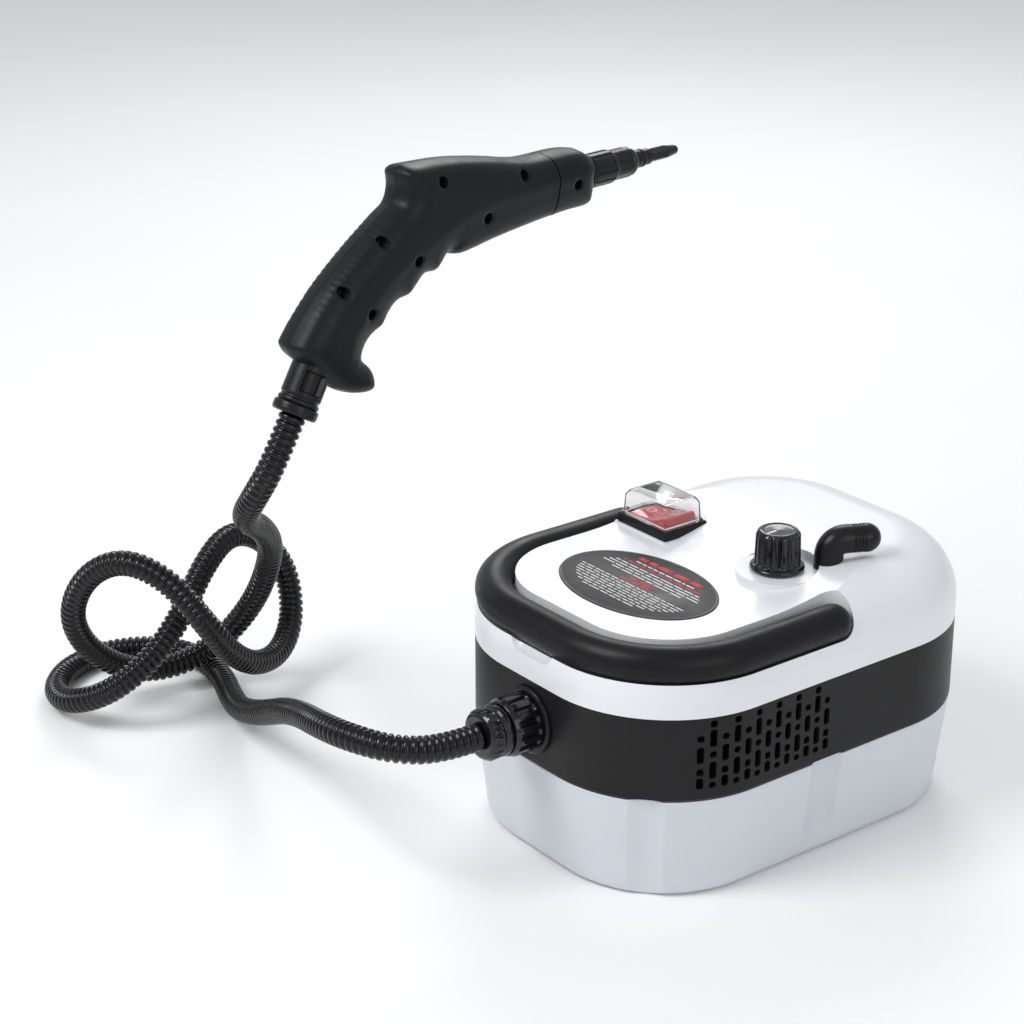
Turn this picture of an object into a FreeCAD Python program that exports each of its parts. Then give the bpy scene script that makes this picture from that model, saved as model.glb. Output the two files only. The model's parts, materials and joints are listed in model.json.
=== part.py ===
import FreeCAD, Part
import math
import os
import re

import Sketcher

# Countertop steam cleaner with a lift-off water tank, a carry handle that folds into a
# channel of the top cover, and a steam gun on a corrugated hose.
#
# Frame: millimetres, +Z up, origin at the centre of the tank's underside. The hose leaves
# the front of the housing towards -X, the switch is on the +Y side.

DIMENSIONS = [
    # outline shared by the tank, the band and the cover
    ("body_length", 280, "housing outline along X"),
    ("body_width", 203, "housing outline along Y"),
    ("body_corner", 76.5, "corner radius of the outline"),
    # tank
    ("tank_height", 63.5, "height of the tank rim"),
    ("tank_inset", 7.3, "how far the tank floor lies inside the outline"),
    ("tank_wall", 2.5, "tank wall"),
    ("tank_edge", 6, "round along the bottom edge"),
    ("seal_height", 1.5, "gasket between tank and housing"),
    ("seal_inset", 0.5, "gasket inside the outline"),
    ("seal_width", 3.2, "gasket width"),
    ("side_flute_radius", 16, "cutter of the finger flute on the long side"),
    ("side_flute_depth", 5.1, "depth of that flute"),
    ("side_flute_x", -5.5, "centre of that flute"),
    ("side_flute_bottom", 19.7, "centre of the flute's round lower end"),
    ("corner_flute_radius", 25, "cutter of the flute on the front corner"),
    ("corner_flute_depth", 2.7, "depth of that flute"),
    ("corner_flute_angle", 137.5, "its direction from the corner centre"),
    # chassis plate
    ("chassis_bottom", 65, "underside of the chassis plate"),
    ("chassis_plate", 2.5, "plate thickness"),
    ("rim_drop", 7, "locating rim below the plate"),
    ("rim_inset", 4.2, "rim inside the outline"),
    ("rim_wall", 2, "rim thickness"),
    ("rim_gap", 0.7, "clearance at the flute bosses"),
    # housing band
    ("band_height", 49, "height of the black band"),
    ("band_wall", 2.4, "band wall"),
    ("vent_pitch", 7.4, "spacing of the vent columns"),
    ("vent_start", 8.5, "first vent column from the middle"),
    ("vent_width", 4.2, "slot width"),
    ("vent_corner", 1.7, "slot corner radius"),
    ("outlet_height", 90, "height of the hose outlet"),
    ("outlet_bore", 10, "hole in the band for the outlet"),
    ("outlet_depth", 15, "how far the outlet reaches into the housing"),
    # top cover
    ("cover_bottom", 114, "lower edge of the white cover"),
    ("cover_top", 161.5, "highest point of the cover"),
    ("cover_wall", 3, "cover wall"),
    ("cover_shoulder", 37, "round of the cover's shoulder"),
    ("panel_top", 151, "height of the front panel"),
    ("panel_end", -35, "where the front panel starts to rise"),
    ("crown_start", 60, "where the rise ends"),
    ("post_radius", 5, "screw posts below the cover"),
    ("post_front", -100, "front pair of posts"),
    ("post_rear", 105, "rear pair of posts"),
    ("post_side", 45, "posts from the middle plane"),
    ("screw_radius", 1.5, "shank of the cover screws"),
    ("screw_length", 16, "cover screw shank"),
    # carry handle
    ("handle_radius", 11, "radius of the handle bar"),
    ("handle_height", 141.5, "height of the handle's centre line"),
    ("handle_pivot", 3, "pivot position along X"),
    ("channel_radius", 12.3, "radius of the handle channel"),
    ("pin_radius", 3, "handle pivot pins"),
    ("pin_clearance", 0.05, "radial clearance of the pins"),
    ("pin_head", 5, "head of the pivot pins"),
    ("notch_radius", 9, "finger notch below the handle"),
    ("notch_width", 20, "straight width of the finger notch"),
    # label
    ("label_x", -62, "label centre"),
    ("label_long", 55, "half length of the oval label"),
    ("label_short", 37, "half width of the oval label"),
    ("label_thick", 0.9, "label thickness"),
    ("label_recess", 0.3, "label recess depth"),
    ("pocket_gap", 0.6, "clearance of pockets and holes in the cover"),
    ("boss_bottom", 140, "where the landings start inside the cover"),
    ("bore_bottom", 130, "where the cover's through holes start"),
    # knob
    ("knob_x", 9, "knob axis"),
    ("knob_y", -39, "knob axis"),
    ("landing_radius", 24, "round landing below the knob"),
    ("landing_height", 155.5, "top of that landing"),
    ("knob_lift", 0.4, "gap below the knob"),
    ("knob_flange", 15.8, "flange radius"),
    ("knob_flange_thick", 3, "flange thickness"),
    ("knob_radius", 13.3, "knob body radius"),
    ("knob_height", 24, "knob height"),
    ("knob_flute", 2.2, "cutter of the knob's flutes"),
    ("knob_flutes", 14, "number of flutes"),
    ("stem_radius", 3, "valve stem"),
    ("stem_clearance", 0.05, "radial clearance of the stem"),
    ("stem_bottom", 104, "lower end of the valve stem"),
    ("stem_grip", 14, "how far the stem reaches into the knob"),
    ("knob_cap", 3, "thickness of the knob's top"),
    ("valve_width", 26, "valve block"),
    ("valve_height", 24, "valve block"),
    ("valve_bottom", 98, "underside of the valve block"),
    ("valve_neck", 8, "round neck of the valve block"),
    # switch
    ("switch_x", 3.5, "switch centre"),
    ("switch_y", 55, "switch centre"),
    ("switch_floor", 153.2, "landing below the bezel"),
    ("bezel_length", 33, "bezel along X"),
    ("bezel_width", 44, "bezel along Y"),
    ("bezel_height", 5.8, "bezel height"),
    ("bezel_wall", 3, "bezel frame width"),
    ("switch_depth", 20, "switch body below the panel"),
    ("switch_ears", 7.6, "how much shorter the switch hole is than the bezel"),
    ("switch_gap", 0.4, "clearance of the switch body in its hole"),
    ("well_gap", 0.8, "clearance of the rocker in its well"),
    ("well_depth", 7, "depth of the rocker's well"),
    ("terminal_thick", 0.8, "switch terminals"),
    ("terminal_width", 6, "switch terminals"),
    ("terminal_length", 8, "switch terminals"),
    ("terminal_shift", 6, "terminals from the middle"),
    ("rocker_length", 24, "rocker along X"),
    ("rocker_pivot", 156.5, "height of the rocker's axis"),
    ("rocker_pin", 1.5, "rocker pin radius"),
    ("rocker_tilt", 9, "rocker tilt each way"),
    ("boot_length", 29, "splash boot along X"),
    ("boot_width", 39, "splash boot along Y"),
    ("boot_height", 15, "splash boot height"),
    ("boot_wall", 1, "splash boot wall"),
    ("boot_corner", 5, "splash boot corners"),
    ("boot_draft", 5, "draft of the splash boot, degrees"),
    # cord gland
    ("gland_x", 34, "gland axis"),
    ("gland_y", -55, "gland axis"),
    ("gland_radius", 8.4, "gland radius"),
    ("gland_bend", 172, "height of the gland's bend"),
    ("gland_reach", 22, "length of its horizontal barrel"),
    ("gland_yaw", -27, "direction of the barrel"),
    ("gland_root", 145, "lower end of the gland"),
    ("gland_wall", 2, "how much smaller the cover's hole is than the gland"),
    ("cord_radius", 3.5, "hole for the power cord"),
    ("cord_depth", 10, "depth of that hole"),
    # hose coupling
    ("flange_radius", 20, "outlet flange"),
    ("flange_thick", 3, "outlet flange thickness"),
    ("spigot_radius", 7.5, "threaded spigot"),
    ("spigot_length", 20, "threaded spigot"),
    ("nut_radius", 17, "coupling nut"),
    ("nut_length", 18, "coupling nut"),
    ("nut_groove", 1.6, "cutter of the nut's grooves"),
    ("nut_grooves", 14, "number of grooves"),
    ("collar_radius", 15, "hose collar"),
    ("collar_length", 15, "hose collar"),
    ("collar_groove", 1.1, "cutter of the collar's grooves"),
    ("collar_grooves", 20, "number of grooves"),
    ("hose_radius", 8, "steam hose"),
    # steam gun
    ("gun_x", -177.4, "centre of the gun's butt opening"),
    ("gun_y", 147.3, "centre of the gun's butt opening"),
    ("gun_z", 274.5, "centre of the gun's butt opening"),
    ("gun_yaw", 7, "direction of the gun"),
    ("gun_half", 18, "half thickness of the gun"),
    ("gun_wall", 3, "gun shell wall"),
    ("gun_facet", 5, "length of the outline's straight edges"),
    ("gun_seam", 178, "seam of the front collar"),
    ("nozzle_height", 65.4, "nozzle axis"),
    ("butt_angle", -31, "tilt of the cuff axis from vertical"),
    ("cuff_radius", 12, "hose cuff"),
    ("cuff_length", 32, "hose cuff outside the swivel"),
    ("cuff_end_radius", 14.3, "end collar of the cuff"),
    ("cuff_end_length", 6.5, "end collar of the cuff"),
    ("swivel_radius", 6, "swivel spigot of the cuff"),
    ("swivel_length", 14, "swivel spigot of the cuff"),
    ("swivel_clearance", 0.05, "radial clearance of the swivel"),
    ("cuff_gap", 0.4, "clearance round the cuff in the butt"),
    ("gun_screw_radius", 1.4, "gun screws"),
    ("gun_screw_head", 2.9, "gun screw heads"),
    ("gun_head_height", 2.5, "gun screw heads"),
    ("gun_screw_seat", 6, "depth of the screw seats from the middle plane"),
    ("gun_screw_reach", 9, "how far the screws reach into the far half"),
    ("gun_boss", 4.2, "screw bosses"),
    ("collar_seat", 5, "depth of the collar screw's seat"),
    ("pipe_radius", 3, "steam pipes"),
    # nozzle, from the front collar outwards
    ("nozzle_start", 218, "front of the gun's body"),
    ("root_radius", 10.7, "splined base"),
    ("root_length", 20, "splined base"),
    ("step_radius", 9.6, "flatted step"),
    ("step_length", 15, "flatted step"),
    ("rim_radius", 9.2, "ring"),
    ("rim_length", 3.5, "ring"),
    ("shoulder_radius", 8, "shoulder of the ring"),
    ("shoulder_length", 1.5, "shoulder of the ring"),
    ("neck_radius", 5.8, "neck"),
    ("neck_length", 10, "neck"),
    ("end_radius", 5.2, "end of the neck"),
    ("end_length", 6, "end of the neck"),
    ("hexagon_radius", 4.5, "six-sided tip, across its corners"),
    ("hexagon_length", 14, "six-sided tip"),
    ("spout_root", 4.1, "spout"),
    ("spout_tip", 2.9, "spout"),
    ("spout_length", 13, "spout"),
    ("jet_radius", 1.2, "steam jet bore"),
    # boiler
    ("boiler_start", -98, "front face of the boiler"),
    ("boiler_length", 86, "boiler along X"),
    ("boiler_width", 64, "boiler along Y"),
    ("boiler_height", 36, "boiler block"),
    ("boiler_bottom", 80, "underside of the boiler"),
    ("boiler_lid", 4, "boiler cover"),
    ("rod_radius", 4, "heater rods"),
    ("rod_reach", 5, "how far the rods stand out at each end"),
    ("rod_side", 16, "heater rods from the middle plane"),
    ("rod_height", 88, "height of the heater rods"),
    ("leg_width", 10, "boiler brackets"),
    ("relief_x", -80, "relief valve"),
    ("relief_y", 18, "relief valve"),
    ("relief_neck", 4, "radius of its neck"),
    ("relief_rise", 6, "height of its neck"),
    ("relief_cap", 7, "radius of its cap"),
    ("relief_height", 12, "height of its cap"),
    ("thermostat_x", -50, "thermostat"),
    ("thermostat_y", -14, "thermostat"),
    ("thermostat_radius", 9, "thermostat disc"),
    ("thermostat_disc", 5, "height of the disc"),
    ("thermostat_cap", 6, "radius of its cap"),
    ("thermostat_rise", 4, "height of its cap"),
    ("fuse_x", -34, "corner of the thermal fuse"),
    ("fuse_y", 4, "corner of the thermal fuse"),
    ("fuse_width", 8, "thermal fuse along X"),
    ("fuse_length", 20, "thermal fuse along Y"),
    ("fuse_height", 6, "thermal fuse"),
    ("steam_side", -29, "steam pipe from the middle plane"),
    # pump
    ("pump_x", 50, "rear of the pump's head"),
    ("pump_y", 20, "pump axis"),
    ("pump_z", 95, "pump axis"),
    ("pump_radius", 19, "pump barrel"),
    ("pump_length", 40, "pump barrel"),
    ("head_radius", 12, "pump head"),
    ("head_length", 15, "pump head"),
    ("port_radius", 5, "suction port"),
    ("port_length", 10, "suction port"),
    ("saddle_thick", 8, "rubber saddles"),
    ("saddle_width", 30, "rubber saddles"),
    ("saddle_top", 88, "top of the saddles"),
    ("saddle_inset", 4, "saddles from the barrel's ends"),
    ("tube_radius", 4, "suction tube"),
    ("suction_x", 70, "where the tube enters the tank"),
    ("suction_y", -14, "where the tube enters the tank"),
    ("filter_radius", 10, "tank filter"),
    ("filter_bottom", 7, "underside of the tank filter"),
    ("filter_height", 7, "tank filter"),
    ("filter_cap", 7, "radius of its cap"),
    ("filter_lid", 2, "height of its cap"),
    # control board
    ("board_x", -50, "corner of the board"),
    ("board_y", 60, "inner face of the board"),
    ("board_z", 68.5, "lower edge of the board"),
    ("board_length", 70, "control board"),
    ("board_height", 42, "control board"),
    ("board_thick", 1.6, "control board"),
    ("relay_x", -44, "relay"),
    ("relay_z", 80, "relay"),
    ("relay_length", 18, "relay"),
    ("relay_height", 16, "relay"),
    ("relay_depth", 12, "relay"),
    ("strip_x", -20, "terminal strip"),
    ("strip_z", 72, "terminal strip"),
    ("strip_length", 30, "terminal strip"),
    ("strip_height", 10, "terminal strip"),
    ("strip_depth", 9, "terminal strip"),
    ("capacitor_x", 8, "capacitor"),
    ("capacitor_z", 96, "capacitor"),
    ("capacitor_radius", 6, "capacitor"),
    ("capacitor_length", 18, "capacitor"),
]

# Vent slots as (lowest, highest) heights, for the two kinds of column in turn.
VENT_ROWS = [
    [(99.6, 103.4), (86.5, 96.5), (79.0, 83.4), (71.0, 77.8)],
    [(107.8, 112.0), (96.0, 106.5), (89.6, 93.4), (76.5, 87.0), (71.0, 74.6)],
]
VENT_COLUMNS = 13

# Route of the steam hose, chosen by hand: out of the coupling, down to the floor, a loose
# knot of loops, and up to the gun.
HOSE_ROUTE = [
    (-176, 0, 90), (-202, 0, 90), (-227, 10, 94), (-239, 38, 95), (-235, 71, 88),
    (-222, 108, 75), (-213, 140, 62), (-203, 172, 45), (-196, 203, 30), (-187, 235, 17),
    (-175, 266, 10), (-162, 297, 8.4), (-157, 331, 8.4), (-170, 362, 8.4),
    (-200, 378, 8.4), (-235, 372, 8.4), (-259, 348, 8.4), (-266, 314, 14),
    (-253, 284, 28), (-228, 270, 50), (-202, 274, 74), (-180, 284, 97), (-152, 298, 108),
    (-124, 304, 96), (-108, 300, 70), (-112, 288, 42), (-132, 272, 27), (-162, 254, 33),
    (-188, 242, 53), (-208, 237, 82), (-224, 250, 110), (-241, 274, 121),
    (-255, 298, 106), (-260, 315, 76), (-248, 323, 46), (-222, 322, 22), (-190, 316, 15),
    (-160, 303, 30), (-143, 288, 58), (-141, 270, 89), (-150, 250, 117), (-174, 222, 142),
    (-196, 200, 158), (-212, 178, 174), (-218, 156, 193), (-212.4, 143, 215.8),
    (-197.1, 144.9, 241.5),
]

# Outline of the gun in its own plane, from the back of the butt over the top to the front,
# back along the finger grips to the butt's lobe. Runs of more than two points are splines.
GUN_OUTLINE = [
    [(-19.6, 1.6), (-23, 8.1)],
    [(-23, 8.1), (-15.6, 17.8), (-7.3, 27.1), (5.6, 39.5), (26.5, 55.5), (47.1, 69.2), (59.3, 76)],
    [(59.3, 76), (61.5, 85), (60.2, 92.7), (64.2, 96.8), (72.6, 96.8)],
    [(72.6, 96.8), (99.9, 95.3), (128.2, 91), (161.4, 84.6), (196.4, 84), (208.7, 81.3),
     (217, 74.2)],
    [(217, 74.2), (215.3, 55.6)],
    [(215.3, 55.6), (211.2, 47.4), (190.6, 46.4), (168.9, 44.9), (135.4, 41.6),
     (102.7, 37.3), (93.7, 41.5)],
    [(93.7, 41.5), (84.2, 31.4), (74.6, 31.6), (69, 26.8), (62.6, 20.9)],
    [(62.6, 20.9), (53.3, 20), (47, 15.4), (41.2, 7)],
    [(41.2, 7), (33.6, 4.5), (28.1, -0.2), (24.7, -7.2)],
    [(24.7, -7.2), (32, -14), (35.6, -22.4), (33, -29.7), (19.3, -28.7), (8.2, -23.7)],
    [(8.2, -23.7), (-19.6, 1.6)],
]

# The gun's side is crowned in four steps: how far the outline is drawn in, up to which
# share of the half thickness.
GUN_STEPS = [(0, 0.5), (2.5, 0.75), (6, 0.9), (10, 1.0)]

# Screws that hold the two halves together, in the gun's plane.
GUN_SCREWS = [(26.7, 19.9), (63.2, 43.5), (119.3, 58), (9.5, 35.5), (40, 58.5), (84, 86),
              (150, 78)]
COLLAR_SCREW = (194.3, 64.7)

# Steam pipe inside the gun, in the gun's plane.
GUN_PIPE = [
    (7.31, 12.17), (11.85, 19.71), (30, 36), (52, 60), (78, 72), (140, 72), (165, 65.4), (209, 65.4),
]
SUCTION_ROUTE = [
    (100, 20, 95), (113, 20, 95), (118, 6, 94), (106, -9, 92), (84, -14, 90), (70, -14, 76),
    (70, -14, 16),
]
FEED_ROUTE = [(35, 20, 95), (22, 20, 95), (10, 16, 97), (0, 10, 98), (-12, 10, 98)]
OUTLET_ROUTE = [
    (6, -52, 106), (6, -60, 106), (-10, -66, 105), (-60, -66, 102), (-103, -61, 97),
    (-118, -38, 92), (-116, -12, 90), (-112, 0, 90), (-125, 0, 90),
]

ALONG_X = FreeCAD.Rotation(FreeCAD.Vector(0, 1, 0), 90)
ALONG_MINUS_X = FreeCAD.Rotation(FreeCAD.Vector(0, 1, 0), -90)
ALONG_Y = FreeCAD.Rotation(FreeCAD.Vector(1, 0, 0), -90)
ALONG_MINUS_Y = FreeCAD.Rotation(FreeCAD.Vector(1, 0, 0), 90)
UP = FreeCAD.Vector(0, 0, 1)
ALIAS = re.compile(r"[a-z]+(?:_[a-z]+)+")

doc = FreeCAD.newDocument("steam_cleaner")
sheet = doc.addObject("Spreadsheet::Sheet", "Dimensions")
nodes = {}


# ---------------------------------------------------------------- helpers

def fill_sheet():
    """Writes every driving dimension to the spreadsheet under its alias."""
    for row, (alias, size, note) in enumerate(DIMENSIONS, start=1):
        sheet.set(f"A{row}", note)
        sheet.set(f"B{row}", str(size))
        sheet.setAlias(f"B{row}", alias)
    doc.recompute()


def dim(alias):
    """Reads one dimension from the spreadsheet."""
    return float(sheet.get(alias))


def bind(item, prop, formula):
    """Binds a property to a formula of sheet aliases."""
    item.setExpression(prop, ALIAS.sub(lambda found: "Dimensions." + found.group(0), str(formula)))


def place(item, x, y, z, turn=None):
    """Turns an object and binds its position to formulas."""
    if turn is not None:
        item.Placement = FreeCAD.Placement(FreeCAD.Vector(), turn)
    bind(item, "Placement.Base.x", x)
    bind(item, "Placement.Base.y", y)
    bind(item, "Placement.Base.z", z)
    return item


def keep(item):
    """Registers an object as a piece of its own."""
    nodes[item.Label] = item
    return item


def box(name, length, width, height, x, y, z):
    """A box given by its size and its lowest corner."""
    item = doc.addObject("Part::Box", name)
    bind(item, "Length", length)
    bind(item, "Width", width)
    bind(item, "Height", height)
    return place(item, x, y, z)


def centred_box(name, length, width, height, x, y, z):
    """A box given by its size and the centre of its underside."""
    return box(name, length, width, height, f"{x} - ({length}) / 2", f"{y} - ({width}) / 2", z)


def cylinder(name, radius, height, x, y, z, turn=None, angle=360):
    """A cylinder that starts at a point and runs along its turned Z axis."""
    item = doc.addObject("Part::Cylinder", name)
    bind(item, "Radius", radius)
    bind(item, "Height", height)
    bind(item, "Angle", angle)
    return place(item, x, y, z, turn)


def sphere(name, radius, x, y, z):
    """A sphere about a point."""
    item = doc.addObject("Part::Sphere", name)
    bind(item, "Radius", radius)
    return place(item, x, y, z)


def quarter_torus(name, ring, radius, x, y, z, turn):
    """A quarter of a torus, turned about Z."""
    item = doc.addObject("Part::Torus", name)
    bind(item, "Radius1", ring)
    bind(item, "Radius2", radius)
    item.Angle3 = 90
    return place(item, x, y, z, FreeCAD.Rotation(UP, turn))


def fuse(name, parts):
    """Joins objects, or groups separate solids of one piece."""
    item = doc.addObject("Part::MultiFuse", name)
    item.Shapes = parts
    return item


def cut(name, base, tools):
    """Takes one or more tools away from a base."""
    item = doc.addObject("Part::Cut", name)
    item.Base = base
    item.Tool = tools[0] if len(tools) == 1 else fuse(name + "_tools", tools)
    return item


def common(name, first, second):
    """What two objects share."""
    item = doc.addObject("Part::Common", name)
    item.Base = first
    item.Tool = second
    return item


def feature(name, shape):
    """A piece whose shape is set directly, from sizes read from the sheet."""
    item = doc.addObject("Part::Feature", name)
    item.Shape = shape
    return item


def origin_part(body, role):
    """One of the planes or axes of a body's own origin."""
    return [part for part in body.Origin.OriginFeatures if part.Role == role][0]


def flat_sketch(body, name):
    """A sketch on the body's own XY plane."""
    sketch = body.newObject("Sketcher::SketchObject", name)
    sketch.AttachmentSupport = [(origin_part(body, "XY_Plane"), "")]
    sketch.MapMode = "FlatFace"
    return sketch


def circle_sketch(body, name, radius, offset="0"):
    """A circle on the X axis of a body's XY plane."""
    sketch = flat_sketch(body, name)
    sketch.addGeometry(Part.Circle(FreeCAD.Vector(1, 0, 0), UP, 5), False)
    sketch.addConstraint(Sketcher.Constraint("PointOnObject", 0, 3, -1))
    rim = sketch.addConstraint(Sketcher.Constraint("Radius", 0, 5))
    shift = sketch.addConstraint(Sketcher.Constraint("DistanceX", -1, 1, 0, 3, 1))
    bind(sketch, f"Constraints[{rim}]", radius)
    bind(sketch, f"Constraints[{shift}]", offset)
    return sketch


def rounded_sketch(body, name, length, width, corner, start):
    """A rectangle with round corners about the origin, solved from a starting shape."""
    sketch = flat_sketch(body, name)
    half_x, half_y, turn = start
    centres = [(half_x - turn, turn - half_y), (half_x - turn, half_y - turn),
               (turn - half_x, half_y - turn), (turn - half_x, turn - half_y)]
    sides = [
        ((turn - half_x, -half_y), (half_x - turn, -half_y)),
        ((half_x, turn - half_y), (half_x, half_y - turn)),
        ((half_x - turn, half_y), (turn - half_x, half_y)),
        ((-half_x, half_y - turn), (-half_x, turn - half_y)),
    ]
    for number, (head, tail) in enumerate(sides):
        line = Part.LineSegment(FreeCAD.Vector(*head), FreeCAD.Vector(*tail))
        sketch.addGeometry(line, False)
        ring = Part.Circle(FreeCAD.Vector(*centres[number]), UP, turn)
        first = math.radians(90 * number - 90)
        sketch.addGeometry(Part.ArcOfCircle(ring, first, first + math.pi / 2), False)
    for edge in range(8):
        sketch.addConstraint(Sketcher.Constraint("Tangent", edge, 2, (edge + 1) % 8, 1))
    for edge, kind in [(0, "Horizontal"), (2, "Vertical"), (4, "Horizontal"), (6, "Vertical")]:
        sketch.addConstraint(Sketcher.Constraint(kind, edge))
    for arc in (3, 5, 7):
        sketch.addConstraint(Sketcher.Constraint("Equal", 1, arc))
    sketch.addConstraint(Sketcher.Constraint("Symmetric", 1, 3, 5, 3, -1, 1))
    rim = sketch.addConstraint(Sketcher.Constraint("Radius", 1, turn))
    wide = sketch.addConstraint(Sketcher.Constraint("DistanceX", 6, 1, 2, 1, 2 * half_x))
    deep = sketch.addConstraint(Sketcher.Constraint("DistanceY", 0, 1, 4, 1, 2 * half_y))
    bind(sketch, f"Constraints[{rim}]", corner)
    bind(sketch, f"Constraints[{wide}]", length)
    bind(sketch, f"Constraints[{deep}]", width)
    return sketch


def level_edges(shape, height):
    """Names of the edges that lie wholly at one height."""
    names = []
    for number, edge in enumerate(shape.Edges, start=1):
        bounds = edge.BoundBox
        if abs(bounds.ZMin - height) < 1e-4 and abs(bounds.ZMax - height) < 1e-4:
            names.append(f"Edge{number}")
    return names


def rounded_block(name, length, width, corner, height, x, y, z, taper="0", top="", bottom="",
                  start=(100, 70, 30)):
    """A padded round-cornered outline, with optional draft and rounded rims."""
    body = doc.addObject("PartDesign::Body", name)
    pad = body.newObject("PartDesign::Pad", name + "_pad")
    pad.Profile = rounded_sketch(body, name + "_outline", length, width, corner, start)
    bind(pad, "Length", height)
    bind(pad, "TaperAngle", taper)
    doc.recompute()
    last = pad
    for rim, radius in (("top", top), ("bottom", bottom)):
        if radius:
            level = last.Shape.BoundBox.ZMax if rim == "top" else last.Shape.BoundBox.ZMin
            fillet = body.newObject("PartDesign::Fillet", f"{name}_{rim}")
            fillet.Base = (last, level_edges(last.Shape, level))
            bind(fillet, "Radius", radius)
            doc.recompute()
            last = fillet
    return place(body, x, y, z)


def outline_block(name, inset, height, level, **options):
    """A block on the housing outline, drawn in by an inset."""
    return rounded_block(name, f"body_length - 2 * ({inset})", f"body_width - 2 * ({inset})",
                         f"body_corner - ({inset})", height, "0", "0", level, **options)


def grooved_ring(name, radius, bore, height, groove, count):
    """A disc or ring with grooves round its rim."""
    body = doc.addObject("PartDesign::Body", name)
    pad = body.newObject("PartDesign::Pad", name + "_pad")
    pad.Profile = circle_sketch(body, name + "_rim", radius)
    bind(pad, "Length", height)
    hole = body.newObject("PartDesign::Pocket", name + "_bore")
    hole.Profile = circle_sketch(body, name + "_hole", bore)
    hole.Type = "ThroughAll"
    hole.Reversed = True
    doc.recompute()
    before = body.Shape.Volume
    slot = body.newObject("PartDesign::Pocket", name + "_groove")
    slot.Profile = circle_sketch(body, name + "_cutter", groove, radius)
    slot.Type = "ThroughAll"
    slot.Reversed = True
    pattern = body.newObject("PartDesign::PolarPattern", name + "_grooves")
    pattern.Originals = [slot]
    pattern.Axis = (origin_part(body, "Z_Axis"), [""])
    pattern.Angle = 360
    bind(pattern, "Occurrences", count)
    body.Tip = pattern
    doc.recompute()
    if body.Shape.Volume >= before:
        raise RuntimeError(f"{name}: the grooves cut nothing")
    return body


def leaning_cylinder(name, radius, length, foot, lean, heading):
    """A cylinder that leans outwards, towards a heading in degrees."""
    item = doc.addObject("Part::Cylinder", name)
    bind(item, "Radius", radius)
    bind(item, "Height", length)
    outward = FreeCAD.Vector(math.cos(math.radians(heading)), math.sin(math.radians(heading)), 0)
    along = outward * math.sin(lean) + UP * math.cos(lean)
    item.Placement = FreeCAD.Placement(foot, FreeCAD.Rotation(UP, along))
    return item


def path_tube(route, radius):
    """Straight runs joined by tangent arcs, swept with a round section; returns arc radii."""
    points = [FreeCAD.Vector(*point) for point in route]
    runs = [(after - before) for before, after in zip(points, points[1:])]
    edges = []
    radii = []
    start = points[0]
    for number in range(1, len(points) - 1):
        before, after = runs[number - 1], runs[number]
        turn = before.getAngle(after)
        arc_radius = 0.45 * min(before.Length, after.Length) / math.tan(turn / 2)
        trim = arc_radius * math.tan(turn / 2)
        inward = (after / after.Length - before / before.Length).normalize()
        corner = points[number]
        enter = corner - before * (trim / before.Length)
        leave = corner + after * (trim / after.Length)
        middle = corner + inward * (arc_radius / math.cos(turn / 2) - arc_radius)
        edges.append(Part.LineSegment(start, enter).toShape())
        edges.append(Part.Arc(enter, middle, leave).toShape())
        radii.append(arc_radius)
        start = leave
    edges.append(Part.LineSegment(start, points[-1]).toShape())
    spine = Part.Wire(edges)
    section = Part.Wire([Part.makeCircle(radius, points[0], runs[0])])
    tube = spine.makePipeShell([section], True, False)
    ideal = math.pi * radius ** 2 * spine.Length
    if abs(tube.Volume - ideal) > 0.01 * ideal:
        raise RuntimeError("a swept tube has the wrong volume")
    return tube, spine.Length, radii


# ---------------------------------------------------------------- tank and chassis

def flute_cutters(prefix, extra):
    """Cutters of the four tank flutes, enlarged by an extra radius."""
    lean = math.atan(dim("tank_inset") / dim("chassis_bottom"))
    cutters = []
    centre_x = dim("body_length") / 2 - dim("body_corner")
    centre_y = dim("body_width") / 2 - dim("body_corner")
    for side in (-1, 1):
        tag = f"{prefix}_{'near' if side < 0 else 'far'}"
        reach = dim("body_width") / 2 + dim("side_flute_radius") - dim("side_flute_depth")
        low = dim("side_flute_bottom")
        foot_y = reach - dim("tank_inset") * (1 - low / dim("chassis_bottom"))
        foot = FreeCAD.Vector(dim("side_flute_x"), side * foot_y, low)
        cutters.append(leaning_cylinder(f"{tag}_side", f"side_flute_radius + {extra}",
                                        "chassis_bottom", foot, lean, 90 * side))
        cutters.append(sphere(f"{tag}_end", f"side_flute_radius + {extra}", foot.x, foot.y, foot.z))
        heading = side * dim("corner_flute_angle")
        reach = dim("body_corner") - dim("tank_inset")
        reach += dim("corner_flute_radius") - dim("corner_flute_depth")
        below = 10
        reach -= below * math.tan(lean)
        foot = FreeCAD.Vector(-centre_x + reach * math.cos(math.radians(heading)),
                              side * centre_y + reach * math.sin(math.radians(heading)), -below)
        cutters.append(leaning_cylinder(f"{tag}_corner", f"corner_flute_radius + {extra}",
                                        f"chassis_bottom + {2 * below}", foot, lean, heading))
    return fuse(prefix, cutters)


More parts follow.
